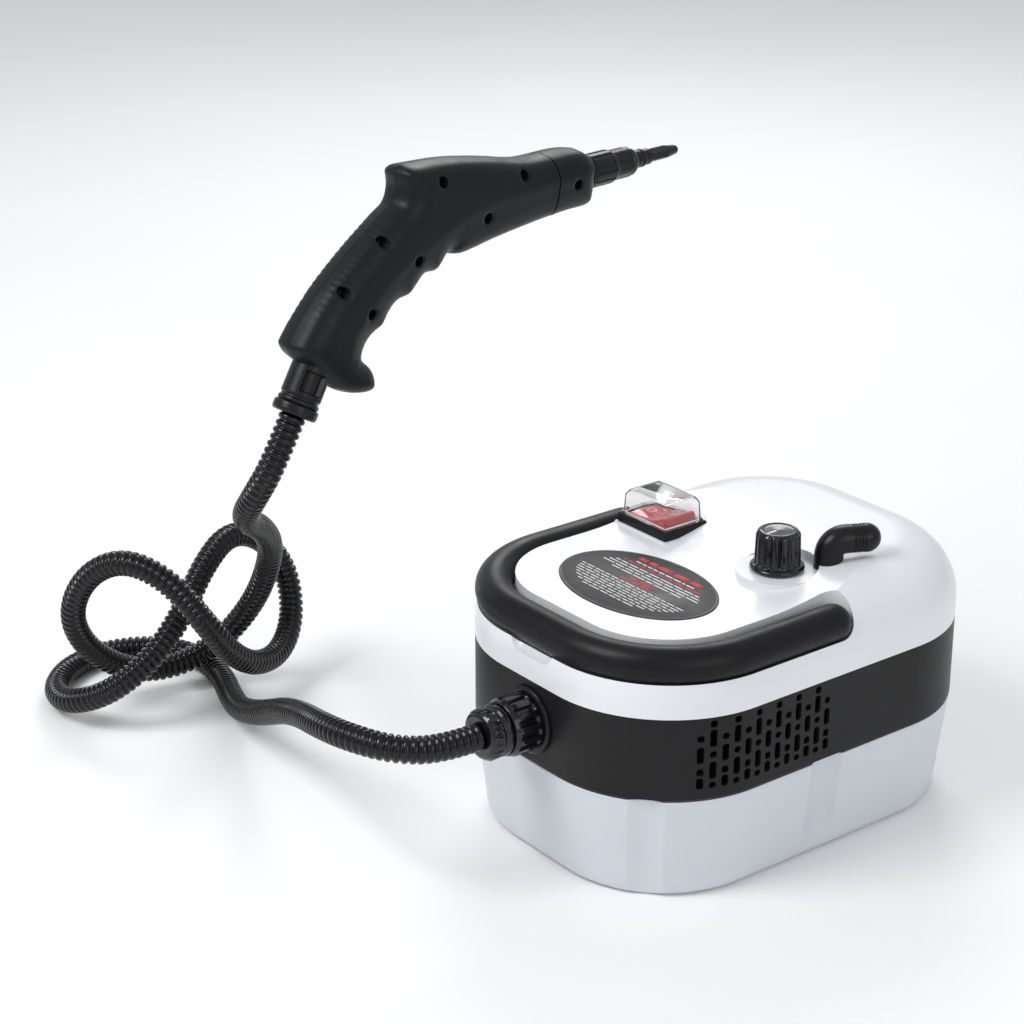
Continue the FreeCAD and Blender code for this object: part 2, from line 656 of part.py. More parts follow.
def make_tank():
    """Water tank with drafted walls, finger flutes and a gasket on its rim."""
    taper = "atan(tank_inset / chassis_bottom)"
    outer = outline_block("tank_outer", "tank_inset", "tank_height", "0", taper=taper,
                          bottom="tank_edge")
    inner = outline_block("tank_inner", "tank_inset + tank_wall", "tank_height", "tank_wall",
                          taper=taper, bottom="tank_edge - tank_wall")
    flutes = flute_cutters("flutes", "0")
    bosses = flute_cutters("flute_bosses", "tank_wall")
    cavity = cut("tank_cavity", inner, [bosses])
    body = cut("tank_body", outer, [flutes])
    keep(cut("tank", body, [cavity]))

    ring = outline_block("seal_outer", "seal_inset", "seal_height", "tank_height")
    hole = outline_block("seal_inner", "seal_inset + seal_width", "seal_height", "tank_height")
    seal_flutes = flute_cutters("seal_flutes", "seal_inset")
    seal_bosses = flute_cutters("seal_bosses", "seal_width")
    seal_hole = cut("seal_hole", hole, [seal_bosses])
    seal_body = cut("seal_body", ring, [seal_flutes])
    keep(cut("tank_seal", seal_body, [seal_hole]))


def make_chassis():
    """Plate that closes the housing and the tank, with a locating rim."""
    plate = outline_block("chassis_outer", "band_wall", "chassis_plate", "chassis_bottom")
    rim = outline_block("rim_outer", "rim_inset", "rim_drop", "chassis_bottom - rim_drop")
    rim_hole = outline_block("rim_inner", "rim_inset + rim_wall", "rim_drop",
                             "chassis_bottom - rim_drop")
    clear = flute_cutters("rim_notches", "seal_width + rim_gap")
    rim_ring = cut("rim_ring", rim, [rim_hole, clear])
    joined = fuse("chassis_blank", [plate, rim_ring])
    below = "chassis_bottom - chassis_plate"
    tools = [cylinder("suction_hole", "tube_radius", "4 * chassis_plate", "suction_x", "suction_y",
                      below)]
    for front, x in (("front", "post_front"), ("rear", "post_rear")):
        for side in ("-", ""):
            name = f"chassis_hole_{front}_{'near' if side else 'far'}"
            tools.append(cylinder(name, "screw_radius", "4 * chassis_plate", x,
                                  f"{side}post_side", below))
    keep(cut("chassis_plate", joined, tools))


# ---------------------------------------------------------------- band and cover

def vent_slot(low, high, x, y, heading):
    """One round-cornered slot cutter across the band's wall."""
    width = dim("vent_width")
    depth = 4 * dim("band_wall")
    slot = Part.makeBox(depth, width, high - low, FreeCAD.Vector(-depth / 2, -width / 2, low))
    across = [edge for edge in slot.Edges if abs(edge.tangentAt(0).x) > 0.99]
    slot = slot.makeFillet(dim("vent_corner"), across)
    slot.rotate(FreeCAD.Vector(), UP, heading)
    slot.translate(FreeCAD.Vector(x, y, 0))
    return slot


def vent_cutters():
    """Rows of slots on both long sides, running round the front corners."""
    corner_x = dim("body_length") / 2 - dim("body_corner")
    corner_y = dim("body_width") / 2 - dim("body_corner")
    slots = []
    for column in range(VENT_COLUMNS):
        along = dim("vent_start") + dim("vent_pitch") * column
        for side in (-1, 1):
            if along <= corner_x:
                x, y, heading = -along, side * dim("body_width") / 2, 90 * side
            else:
                bend = (along - corner_x) / dim("body_corner")
                heading = side * (90 + math.degrees(bend))
                x = -corner_x - dim("body_corner") * math.sin(bend)
                y = side * (corner_y + dim("body_corner") * math.cos(bend))
            for low, high in VENT_ROWS[column % 2]:
                slots.append(vent_slot(low, high, x, y, heading))
    return feature("vent_cutters", Part.makeCompound(slots))


def make_band():
    """Black ring of the housing with the vents and the hose outlet hole."""
    outer = outline_block("band_outer", "0", "band_height", "chassis_bottom")
    inner = outline_block("band_inner", "band_wall", "band_height", "chassis_bottom")
    outlet = cylinder("outlet_hole", "outlet_bore", 20, "-body_length / 2 - 10", 0,
                      "outlet_height", ALONG_X)
    keep(cut("housing_band", outer, [inner, outlet, vent_cutters()]))


def u_bar(prefix, radius):
    """Round bar in the shape of the handle, with round ends."""
    arm = "body_width / 2 - handle_radius"
    front = "body_length / 2 - handle_radius"
    bend = "body_corner - handle_radius"
    corner_x = "-(body_length / 2 - body_corner)"
    corner_y = "body_width / 2 - body_corner"
    level = "handle_height"
    reach = "handle_pivot + body_length / 2 - body_corner"
    parts = [
        cylinder(f"{prefix}_front", radius, f"2 * ({corner_y})", f"-({front})", f"-({corner_y})",
                 level, ALONG_Y),
        quarter_torus(f"{prefix}_near_bend", bend, radius, corner_x, f"-({corner_y})", level, 180),
        quarter_torus(f"{prefix}_far_bend", bend, radius, corner_x, corner_y, level, 90),
    ]
    for name, side in (("near", "-"), ("far", "")):
        y = f"{side}({arm})"
        parts.append(cylinder(f"{prefix}_{name}_arm", radius, reach, corner_x, y, level, ALONG_X))
        parts.append(sphere(f"{prefix}_{name}_end", radius, "handle_pivot", y, level))
    return fuse(prefix, parts)


def u_slot(prefix, radius):
    """Straight-walled slot above the same path, open upwards."""
    arm = "body_width / 2 - handle_radius"
    front = "body_length / 2 - handle_radius"
    bend = "body_corner - handle_radius"
    corner_x = "-(body_length / 2 - body_corner)"
    corner_y = "body_width / 2 - body_corner"
    level = "handle_height"
    tall = 30
    reach = "handle_pivot + body_length / 2 - body_corner"
    parts = [box(f"{prefix}_front", f"2 * {radius}", f"2 * ({corner_y})", tall,
                 f"-({front}) - {radius}", f"-({corner_y})", level)]
    for name, side, turn in (("near", "-", 180), ("far", "", 90)):
        y = f"{side}({arm})"
        rotation = FreeCAD.Rotation(UP, turn)
        wide = cylinder(f"{prefix}_{name}_wide", f"{bend} + {radius}", tall, corner_x,
                        f"{side}({corner_y})", level, rotation, 90)
        core = cylinder(f"{prefix}_{name}_core", f"{bend} - {radius}", tall, corner_x,
                        f"{side}({corner_y})", level, rotation, 90)
        parts.append(cut(f"{prefix}_{name}_bend", wide, [core]))
        parts.append(box(f"{prefix}_{name}_arm", reach, f"2 * {radius}", tall, corner_x,
                         f"{y} - {radius}", level))
        parts.append(cylinder(f"{prefix}_{name}_end", radius, tall, "handle_pivot", y, level))
    return fuse(prefix, parts)


def profile_block(name, drop):
    """Side profile of the cover: a low front panel that rises smoothly to the crown."""
    low = dim("panel_top") - drop
    high = dim("cover_top") - drop
    start, end = dim("panel_end"), dim("crown_start")
    rise, run = high - low, end - start
    bend = (run ** 2 + rise ** 2) / (4 * rise)
    quarter = run / 4
    sag = bend - math.sqrt(bend ** 2 - quarter ** 2)
    half_y = dim("body_width")
    base = dim("cover_bottom") - 10
    far_x = dim("body_length")

    def at(x, z):
        return FreeCAD.Vector(x, -half_y, z)

    middle = at((start + end) / 2, (low + high) / 2)
    edges = [
        Part.LineSegment(at(-far_x, base), at(-far_x, low)).toShape(),
        Part.LineSegment(at(-far_x, low), at(start, low)).toShape(),
        Part.Arc(at(start, low), at(start + quarter, low + sag), middle).toShape(),
        Part.Arc(middle, at(end - quarter, high - sag), at(end, high)).toShape(),
        Part.LineSegment(at(end, high), at(far_x, high)).toShape(),
        Part.LineSegment(at(far_x, high), at(far_x, base)).toShape(),
        Part.LineSegment(at(far_x, base), at(-far_x, base)).toShape(),
    ]
    solid = Part.Face(Part.Wire(edges)).extrude(FreeCAD.Vector(0, 2 * half_y, 0))
    return feature(name, solid)


def label_oval(name, thickness, bottom, margin):
    """Oval plate, its long axis across the machine."""
    oval = doc.addObject("Part::Ellipse", name + "_oval")
    bind(oval, "MajorRadius", f"label_long + {margin}")
    bind(oval, "MinorRadius", f"label_short + {margin}")
    place(oval, "label_x", "0", bottom, FreeCAD.Rotation(UP, 90))
    plate = doc.addObject("Part::Extrusion", name)
    plate.Base = oval
    plate.Dir = UP
    plate.DirMode = "Custom"
    plate.Solid = True
    bind(plate, "LengthFwd", thickness)
    return plate


def cover_posts(radius, prefix, bottom, height):
    """Four upright cylinders at the screw positions."""
    posts = []
    for front, x in (("front", "post_front"), ("rear", "post_rear")):
        for name, side in (("near", "-"), ("far", "")):
            posts.append(cylinder(f"{prefix}_{front}_{name}", radius, height, x,
                                  f"{side}post_side", bottom))
    return posts


def make_cover():
    """White top cover: shouldered shell with the handle channel and the landings."""
    tall = "cover_top - cover_bottom"
    skin = outline_block("cover_skin", "0", tall, "cover_bottom", top="cover_shoulder")
    lining = outline_block("cover_lining", "cover_wall", "cover_top - cover_bottom - cover_wall",
                           "cover_bottom", top="cover_shoulder - cover_wall")
    shape = common("cover_shape", skin, profile_block("cover_profile", 0))
    space = common("cover_space", lining, profile_block("space_profile", dim("cover_wall")))

    knob_boss = cylinder("knob_boss", "landing_radius", "landing_height - boss_bottom", "knob_x",
                         "knob_y", "boss_bottom")
    switch_boss = centred_box("switch_boss", "bezel_length + 2", "bezel_width + 2",
                              "switch_floor - boss_bottom", "switch_x", "switch_y", "boss_bottom")
    shape = fuse("cover_bossed", [shape, knob_boss, switch_boss])

    wall = "(channel_radius + cover_wall)"
    knob_pad = cylinder("knob_pad", "landing_radius + cover_wall", 20, "knob_x", "knob_y",
                        "landing_height - cover_wall")
    switch_pad = centred_box("switch_pad", "bezel_length + 3 * cover_wall",
                             "bezel_width + 3 * cover_wall", 20, "switch_x", "switch_y",
                             "switch_floor - cover_wall")
    posts = cover_posts("post_radius", "post", "chassis_bottom + chassis_plate", 100)
    space = cut("cover_hollow", space, [u_bar("channel_wall", wall), u_slot("channel_cheeks", wall),
                                        knob_pad, switch_pad] + posts)
    shell = cut("cover_shell", shape, [space])
    lower_posts = cover_posts("post_radius", "low_post", "chassis_bottom + chassis_plate",
                              "cover_bottom - chassis_bottom - chassis_plate")
    shell = fuse("cover_posted", [shell] + lower_posts)

    tools = [
        u_bar("channel", "channel_radius"),
        u_slot("channel_slot", "channel_radius"),
        cylinder("knob_spotface", "landing_radius", 20, "knob_x", "knob_y", "landing_height"),
        cylinder("stem_hole", "stem_radius + pocket_gap", 40, "knob_x", "knob_y", "bore_bottom"),
        centred_box("bezel_pocket", "bezel_length + pocket_gap", "bezel_width + pocket_gap", 20,
                    "switch_x", "switch_y", "switch_floor"),
        centred_box("switch_hole", "bezel_length - bezel_wall", "bezel_width - switch_ears", 40,
                    "switch_x", "switch_y", "bore_bottom"),
        cylinder("gland_hole", "gland_radius - gland_wall", 40, "gland_x", "gland_y",
                 "bore_bottom"),
        label_oval("label_pocket", 5, "panel_top - label_recess", 0.2),
        cylinder("finger_notch", "notch_radius", "notch_width", "-body_length / 2 - 2",
                 "-notch_width / 2", "handle_height - 5", ALONG_Y),
        sphere("notch_near", "notch_radius", "-body_length / 2 - 2", "-notch_width / 2",
               "handle_height - 5"),
        sphere("notch_far", "notch_radius", "-body_length / 2 - 2", "notch_width / 2",
               "handle_height - 5"),
    ]
    for name, side in (("near", "-"), ("far", "")):
        y = f"{side}(body_width / 2)" if side else "body_width / 2 - 40"
        tools.append(cylinder(f"pin_hole_{name}", "pin_radius", 40, "handle_pivot", y,
                              "handle_height", ALONG_Y))
    tools += cover_posts("screw_radius", "post_bore", "chassis_bottom", 20)
    keep(cut("top_cover", shell, tools))

    screws = cover_posts("2 * screw_radius", "screw_head", "chassis_bottom - 2.2", 2.2)
    screws += cover_posts("screw_radius", "screw_shank", "chassis_bottom", "screw_length")
    keep(fuse("cover_screws", screws))
    keep(label_oval("label_plate", "label_thick", "panel_top - label_recess", 0))


def make_handle():
    """Carry handle and the two pins that it folds about."""
    bar = u_bar("handle_bar", "handle_radius")
    bores = []
    pins = []
    wall = "body_width / 2 - handle_radius - channel_radius"
    for name, side in (("near", -1), ("far", 1)):
        turn = ALONG_Y if side > 0 else ALONG_MINUS_Y
        sign = "-" if side < 0 else ""
        bores.append(cylinder(f"pin_bore_{name}", "pin_radius + pin_clearance", 18, "handle_pivot",
                              f"{sign}({wall})", "handle_height", turn))
        pins.append(cylinder(f"pin_{name}", "pin_radius", 20, "handle_pivot",
                             f"{sign}({wall} - cover_wall)", "handle_height", turn))
        pins.append(cylinder(f"pin_head_{name}", "pin_head", 2, "handle_pivot",
                             f"{sign}({wall} - cover_wall - 2)", "handle_height", turn))
    keep(cut("carry_handle", bar, bores))
    keep(fuse("handle_pivot_pins", pins))


# ---------------------------------------------------------------- controls on the cover

def make_knob():
    """Fluted steam knob, its valve stem and the brass valve block below."""
    base = "landing_height + knob_lift"
    grip = grooved_ring("knob_grip", "knob_radius", "stem_radius", "knob_height - knob_flange_thick",
                        "knob_flute", "knob_flutes")
    place(grip, "knob_x", "knob_y", f"{base} + knob_flange_thick")
    flange = cylinder("knob_flange_disc", "knob_flange", "knob_flange_thick", "knob_x", "knob_y", base)
    cap = cylinder("knob_top", "knob_radius - knob_flute", "knob_cap", "knob_x", "knob_y",
                   f"{base} + knob_height - knob_cap")
    bore = cylinder("knob_bore", "stem_radius", "knob_height - 2 * knob_cap", "knob_x", "knob_y",
                    base)
    keep(cut("steam_knob", fuse("knob_blank", [grip, flange, cap]), [bore]))
    keep(cylinder("valve_stem", "stem_radius", f"{base} + stem_grip - stem_bottom", "knob_x",
                  "knob_y", "stem_bottom"))

    block = centred_box("valve_blank", "valve_width", "valve_width", "valve_height", "knob_x",
                        "knob_y", "valve_bottom")
    stem_bore = cylinder("valve_bore", "stem_radius + stem_clearance", "valve_height + valve_neck",
                         "knob_x", "knob_y", "stem_bottom - 1")
    neck = cylinder("valve_collar", "valve_neck", "valve_neck", "knob_x", "knob_y",
                    "valve_bottom + valve_height")
    keep(cut("valve_block", fuse("valve_body", [block, neck]), [stem_bore]))


def rocker_shape():
    """Rocker with two facets, centred on its axis, tilted to its rest position."""
    profile = [(-16, -1), (-16.5, 5.5), (0, 3.2), (16.5, 5.5), (16, -1), (6, -5), (-6, -5)]
    length = dim("rocker_length")
    corners = [FreeCAD.Vector(-length / 2, y, z) for y, z in profile]
    face = Part.Face(Part.makePolygon(corners + corners[:1]))
    body = face.extrude(FreeCAD.Vector(length, 0, 0))
    pin_length = dim("bezel_length") - 2 * dim("bezel_wall") - dim("switch_gap")
    pin = Part.makeCylinder(dim("rocker_pin"), pin_length,
                            FreeCAD.Vector(-pin_length / 2, 0, 0), FreeCAD.Vector(1, 0, 0))
    rocker = body.fuse(pin)
    rocker.rotate(FreeCAD.Vector(), FreeCAD.Vector(1, 0, 0), -dim("rocker_tilt"))
    return rocker


def make_switch():
    """Rocker switch: bezel, body, rocker and the clear boot over it."""
    centre = ("switch_x", "switch_y")
    frame = centred_box("bezel_frame", "bezel_length", "bezel_width", "bezel_height", *centre,
                        "switch_floor")
    window = centred_box("bezel_window", "bezel_length - 2 * bezel_wall",
                         "bezel_width - 2 * bezel_wall", 20, *centre, "switch_floor")
    keep(cut("switch_bezel", frame, [window]))
    case = centred_box("switch_case", "bezel_length - bezel_wall - switch_gap",
                       "bezel_width - switch_ears - switch_gap", "switch_depth", *centre,
                       "switch_floor - switch_depth")
    well = centred_box("switch_well", "rocker_length + 2 * well_gap",
                       "bezel_width - switch_ears - 2 * well_gap", "well_depth + 1", *centre,
                       "switch_floor - well_depth")
    terminals = [centred_box(f"terminal_{tag}", "terminal_thick", "terminal_width",
                             "terminal_length", f"switch_x {sign} terminal_shift", "switch_y",
                             "switch_floor - switch_depth - terminal_length")
                 for tag, sign in (("front", "-"), ("rear", "+"))]
    keep(fuse("switch_body", [cut("switch_cup", case, [well])] + terminals))
    rocker = keep(feature("switch_rocker", rocker_shape()))
    place(rocker, "switch_x", "switch_y", "rocker_pivot")
    draft = "-boot_draft"
    small = (14, 19, 4)
    shell = rounded_block("boot_outer", "boot_length", "boot_width", "boot_corner", "boot_height",
                          *centre, "switch_floor + bezel_height", taper=draft, start=small)
    space = rounded_block("boot_inner", "boot_length - 2 * boot_wall", "boot_width - 2 * boot_wall",
                          "boot_corner - boot_wall", "boot_height - boot_wall", *centre,
                          "switch_floor + bezel_height", taper=draft, start=small)
    keep(cut("switch_boot", shell, [space]))


def make_gland():
    """Elbow through which the power cord enters."""
    turn = FreeCAD.Rotation(UP, dim("gland_yaw")).multiply(ALONG_X)
    yaw = math.radians(dim("gland_yaw"))
    tip_x = f"gland_x + gland_reach * {math.cos(yaw)}"
    tip_y = f"gland_y + gland_reach * {math.sin(yaw)}"
    stub = cylinder("gland_stub", "gland_radius", "gland_bend - gland_root", "gland_x", "gland_y",
                    "gland_root")
    knee = sphere("gland_knee", "gland_radius", "gland_x", "gland_y", "gland_bend")
    barrel = cylinder("gland_barrel", "gland_radius", "gland_reach", "gland_x", "gland_y",
                      "gland_bend", turn)
    nose = sphere("gland_nose", "gland_radius", tip_x, tip_y, "gland_bend")
    mouth = cylinder("gland_mouth", "cord_radius", "cord_depth", tip_x, tip_y, "gland_bend", turn)
    blank = fuse("gland_blank", [stub, knee, barrel, nose])
    cover_copy = profile_block("gland_floor", 0)
    keep(cut("cord_gland", blank, [cover_copy, mouth]))


# ---------------------------------------------------------------- hose and coupling

def make_coupling():
    """Flange on the band, union nut and hose collar, in line along -X."""
    front = "-body_length / 2"
    level = "outlet_height"
    disc = cylinder("flange_disc", "flange_radius", "flange_thick", front, 0, level, ALONG_MINUS_X)
    inner = cylinder("flange_inner", "outlet_bore", "outlet_depth", front, 0, level, ALONG_X)
    spigot = cylinder("flange_spigot", "spigot_radius", "spigot_length", front, 0, level,
                      ALONG_MINUS_X)
    bore = cylinder("flange_bore", "pipe_radius", "2 * (spigot_length + outlet_depth)",
                    f"{front} - 2 * spigot_length", 0, level, ALONG_X)
    keep(cut("outlet_flange", fuse("flange_blank", [disc, inner, spigot]), [bore]))
    nut = grooved_ring("coupling_nut", "nut_radius", "spigot_radius", "nut_length", "nut_groove",
                       "nut_grooves")
    keep(place(nut, "-body_length / 2 - flange_thick", "0", level, ALONG_MINUS_X))
    collar = grooved_ring("coupling_collar", "collar_radius", "spigot_radius", "collar_length",
                          "collar_groove", "collar_grooves")
    keep(place(collar, "-body_length / 2 - flange_thick - nut_length", "0", level, ALONG_MINUS_X))


def make_hose():
    """Steam hose as one tube along its route."""
    tube, length, radii = path_tube(HOSE_ROUTE, dim("hose_radius"))
    keep(feature("steam_hose", tube))
    print("hose length", round(length), "arc radii", [round(radius) for radius in radii])


# ---------------------------------------------------------------- steam gun

def gun_node(item):
    """Puts a finished piece of the gun in its place on the machine."""
    yaw = FreeCAD.Rotation(UP, dim("gun_yaw"))
    if item.TypeId == "Part::Feature":
        item.Placement = FreeCAD.Placement(FreeCAD.Vector(), yaw).multiply(item.Placement)
    else:
        item.Placement = FreeCAD.Placement(FreeCAD.Vector(), yaw)
    bind(item, "Placement.Base.x", "gun_x")
    bind(item, "Placement.Base.y", "gun_y")
    bind(item, "Placement.Base.z", "gun_z")
    return keep(item)


def inset_outline(inset):
    """The gun's outline in short straight edges, as a face in the XZ plane drawn in by an inset."""
    points = []
    for run in GUN_OUTLINE:
        corners = [FreeCAD.Vector(x, 0, z) for x, z in run]
        if len(corners) > 2:
            curve = Part.BSplineCurve()
            curve.interpolate(corners)
            corners = curve.discretize(round(curve.length() / dim("gun_facet")) + 1)
        points += corners[:-1]
    face = Part.Face(Part.makePolygon(points + points[:1]))
    return face.makeOffset2D(-inset) if inset else face


def crowned_solid(inset):
    """The gun's body in steps that narrow towards its sides, drawn in all round by an inset."""
    solid = None
    for drawn, share in GUN_STEPS:
        half = dim("gun_half") * share - inset
        slab = inset_outline(drawn + inset).extrude(FreeCAD.Vector(0, 2 * half, 0))
        slab.translate(FreeCAD.Vector(0, -half, 0))
        solid = slab if solid is None else solid.fuse(slab)
    return solid


def along_butt(radius, start, length):
    """A cylinder on the cuff axis, in the gun's plane, from a distance out of the butt."""
    tilt = math.radians(dim("butt_angle"))
    axis = FreeCAD.Vector(math.sin(tilt), 0, -math.cos(tilt))
    return Part.makeCylinder(radius, length, axis * start, axis)


def across(radius, spot, start, end):
    """A cylinder across the gun at a spot of its plane."""
    return Part.makeCylinder(radius, end - start, FreeCAD.Vector(spot[0], start, spot[1]),
                             FreeCAD.Vector(0, 1, 0))


def make_gun_shells():
    """Two half-shells with screw bosses, and the solid front collar."""
    outer = crowned_solid(0)
    cavity = crowned_solid(dim("gun_wall"))
    half = dim("gun_half")
    seam = dim("gun_seam")
    seat = dim("gun_screw_seat")
    reach = dim("gun_screw_reach")
    head = dim("gun_screw_head")
    shank = dim("gun_screw_radius")
    big = 400
    front = Part.makeBox(big, 2 * half, big, FreeCAD.Vector(seam, -half, -big / 2))
    butt = along_butt(dim("cuff_radius") + dim("cuff_gap"), -1, 2 * dim("cuff_length"))
    bush = along_butt(2 * dim("swivel_radius"), -dim("swivel_length"), dim("swivel_length") - 1)
    bosses = Part.makeCompound([across(dim("gun_boss"), spot, -half, half) for spot in GUN_SCREWS])
    heads = Part.makeCompound([across(head, spot, -half, -seat) for spot in GUN_SCREWS])
    shanks = Part.makeCompound([across(shank, spot, -seat - 1, reach) for spot in GUN_SCREWS])
    walls = outer.cut(cavity).fuse(bosses.common(outer))
    walls = walls.cut(front).cut(butt).cut(bush).cut(heads).cut(shanks)
    near_side = Part.makeBox(big, half + 1, big, FreeCAD.Vector(-big / 4, -half - 1, -big / 2))
    far_side = Part.makeBox(big, half + 1, big, FreeCAD.Vector(-big / 4, 0, -big / 2))
    gun_node(feature("gun_shell_near", walls.common(near_side)))
    gun_node(feature("gun_shell_far", walls.common(far_side)))

    axis = FreeCAD.Vector(1, 0, 0)
    pipe_bore = Part.makeCylinder(dim("pipe_radius"), big,
                                  FreeCAD.Vector(0, 0, dim("nozzle_height")), axis)
    collar = outer.common(front).cut(pipe_bore)
    collar_seat = dim("collar_seat") - half
    collar_end = collar_seat + dim("collar_seat")
    collar = collar.cut(across(head, COLLAR_SCREW, -half, collar_seat))
    collar = collar.cut(across(shank, COLLAR_SCREW, -half, collar_end))
    gun_node(feature("gun_front_collar", collar))

    screws = []
    for spot in GUN_SCREWS:
        screws.append(across(head, spot, -seat - dim("gun_head_height"), -seat))
        screws.append(across(shank, spot, -seat, reach))
    screws.append(across(head, COLLAR_SCREW, collar_seat - dim("gun_head_height"), collar_seat))
    screws.append(across(shank, COLLAR_SCREW, collar_seat, collar_end))
    joined = screws[0].fuse(screws[1:])
    gun_node(feature("gun_screws", joined))

    bush_bore = along_butt(dim("swivel_radius") + dim("swivel_clearance"), -60, 80)
    gun_node(feature("gun_swivel_fitting", bush.cut(bush_bore)))


def make_nozzle():
    """Nozzle in four pieces along the gun's axis, and the pipe behind it."""
    level = "nozzle_height"
    turned = {}
    reach = "nozzle_start"
    for stem in ("root", "step", "rim", "shoulder", "neck", "end"):
        turned[stem] = cylinder(f"{stem}_turned", f"{stem}_radius", f"{stem}_length", reach, 0,
                                level, ALONG_X)
        reach += f" + {stem}_length"
    gun_node(fuse("nozzle_base", [turned["root"], turned["step"]]))
    gun_node(fuse("nozzle_ring", [turned["rim"], turned["shoulder"]]))
    gun_node(fuse("nozzle_neck", [turned["neck"], turned["end"]]))

    hexagon = doc.addObject("Part::Prism", "tip_hexagon")
    hexagon.Polygon = 6
    bind(hexagon, "Circumradius", "hexagon_radius")
    bind(hexagon, "Height", "hexagon_length")
    place(hexagon, reach, "0", level, ALONG_X)
    spout = doc.addObject("Part::Cone", "tip_spout")
    bind(spout, "Radius1", "spout_root")
    bind(spout, "Radius2", "spout_tip")
    bind(spout, "Height", "spout_length")
    place(spout, f"{reach} + hexagon_length", "0", level, ALONG_X)
    jet = cylinder("tip_jet", "jet_radius", "2 * hexagon_length", f"{reach} + 1", 0, level, ALONG_X)
    gun_node(cut("nozzle_tip", fuse("tip_blank", [hexagon, spout]), [jet]))
    pipe, _, _ = path_tube([(x, 0, z) for x, z in GUN_PIPE], dim("pipe_radius"))
    gun_node(feature("gun_inner_pipe", pipe))


def make_cuff():
    """Cuff on the hose's end; its spigot turns in the gun's butt."""
    cuff = along_butt(dim("cuff_radius"), 0, dim("cuff_length"))
    spigot = along_butt(dim("swivel_radius"), -dim("swivel_length"), dim("swivel_length"))
    gun_node(feature("hose_cuff", cuff.fuse(spigot)))
    end = along_butt(dim("cuff_end_radius"), dim("cuff_length"), dim("cuff_end_length"))
    gun_node(feature("cuff_collar", end))


# ---------------------------------------------------------------- inside the housing

def make_boiler():
    """Aluminium boiler on four brackets, with its heater rods and safety devices."""
    floor = "chassis_bottom + chassis_plate"
    lid = "boiler_bottom + boiler_height"
    top = f"{lid} + boiler_lid"
    corner = ("boiler_start", "-boiler_width / 2")
    block = box("boiler_blank", "boiler_length", "boiler_width", "boiler_height", *corner,
                "boiler_bottom")
    rods = []
    bores = []
    for tag, side in (("near", "-"), ("far", "")):
        run = ("rod_radius", "boiler_length + 2 * rod_reach", "boiler_start - rod_reach",
               f"{side}rod_side", "rod_height", ALONG_X)
        rods.append(cylinder(f"heater_rod_{tag}", *run))
        bores.append(cylinder(f"heater_bore_{tag}", *run))
    keep(cut("boiler_block", block, bores))
    keep(fuse("heating_element", rods))
    keep(box("boiler_cover", "boiler_length", "boiler_width", "boiler_lid", *corner, lid))
    legs = []
    for x in ("boiler_start", "boiler_start + boiler_length - leg_width"):
        for y in ("-boiler_width / 2", "boiler_width / 2 - leg_width"):
            legs.append(box(f"leg_{len(legs)}", "leg_width", "leg_width",
                            f"boiler_bottom - ({floor})", x, y, floor))
    keep(fuse("boiler_brackets", legs))
    spot = ("relief_x", "relief_y")
    keep(fuse("relief_valve", [
        cylinder("relief_stub", "relief_neck", "relief_rise", *spot, top),
        cylinder("relief_head", "relief_cap", "relief_height", *spot, f"{top} + relief_rise"),
    ]))
    spot = ("thermostat_x", "thermostat_y")
    keep(fuse("thermostat", [
        cylinder("thermostat_base", "thermostat_radius", "thermostat_disc", *spot, top),
        cylinder("thermostat_top", "thermostat_cap", "thermostat_rise", *spot,
                 f"{top} + thermostat_disc"),
    ]))
    keep(box("thermal_fuse", "fuse_width", "fuse_length", "fuse_height", "fuse_x", "fuse_y", top))


def make_pump():
    """Pump on rubber saddles, its suction side in the tank and its feed to the boiler."""
    floor = "chassis_bottom + chassis_plate"
    axis = ("pump_y", "pump_z", ALONG_X)
    barrel = cylinder("pump_barrel", "pump_radius", "pump_length", "pump_x", *axis)
    head = cylinder("pump_head", "head_radius", "head_length", "pump_x - head_length", *axis)
    port = cylinder("pump_port", "port_radius", "port_length", "pump_x + pump_length", *axis)
    keep(fuse("pump_body", [barrel, head, port]))
    seat = cylinder("pump_seat", "pump_radius", "pump_length", "pump_x", *axis)
    saddles = []
    for tag, x in (("front", "pump_x + saddle_inset"),
                   ("rear", "pump_x + pump_length - saddle_inset - saddle_thick")):
        saddles.append(box(f"saddle_{tag}", "saddle_thick", "saddle_width",
                           f"saddle_top - ({floor})", x, "pump_y - saddle_width / 2", floor))
    keep(cut("pump_mounts", fuse("saddle_blanks", saddles), [seat]))
    tube, _, _ = path_tube(SUCTION_ROUTE, dim("tube_radius"))
    keep(feature("suction_tube", tube))
    foot = ("suction_x", "suction_y")
    keep(fuse("tank_filter", [
        cylinder("filter_cage", "filter_radius", "filter_height", *foot, "filter_bottom"),
        cylinder("filter_top", "filter_cap", "filter_lid", *foot, "filter_bottom + filter_height"),
    ]))
    feed, _, _ = path_tube(FEED_ROUTE, dim("pipe_radius"))
    keep(feature("feed_tube", feed))


def make_pipes():
    """Steam pipes between boiler, valve and outlet."""
    start = "boiler_start + boiler_length"
    keep(cylinder("steam_pipe", "pipe_radius", f"knob_x - valve_width / 2 - ({start})", start,
                  "steam_side", "stem_bottom", ALONG_X))
    pipe, _, _ = path_tube(OUTLET_ROUTE, dim("pipe_radius"))
    keep(feature("outlet_pipe", pipe))


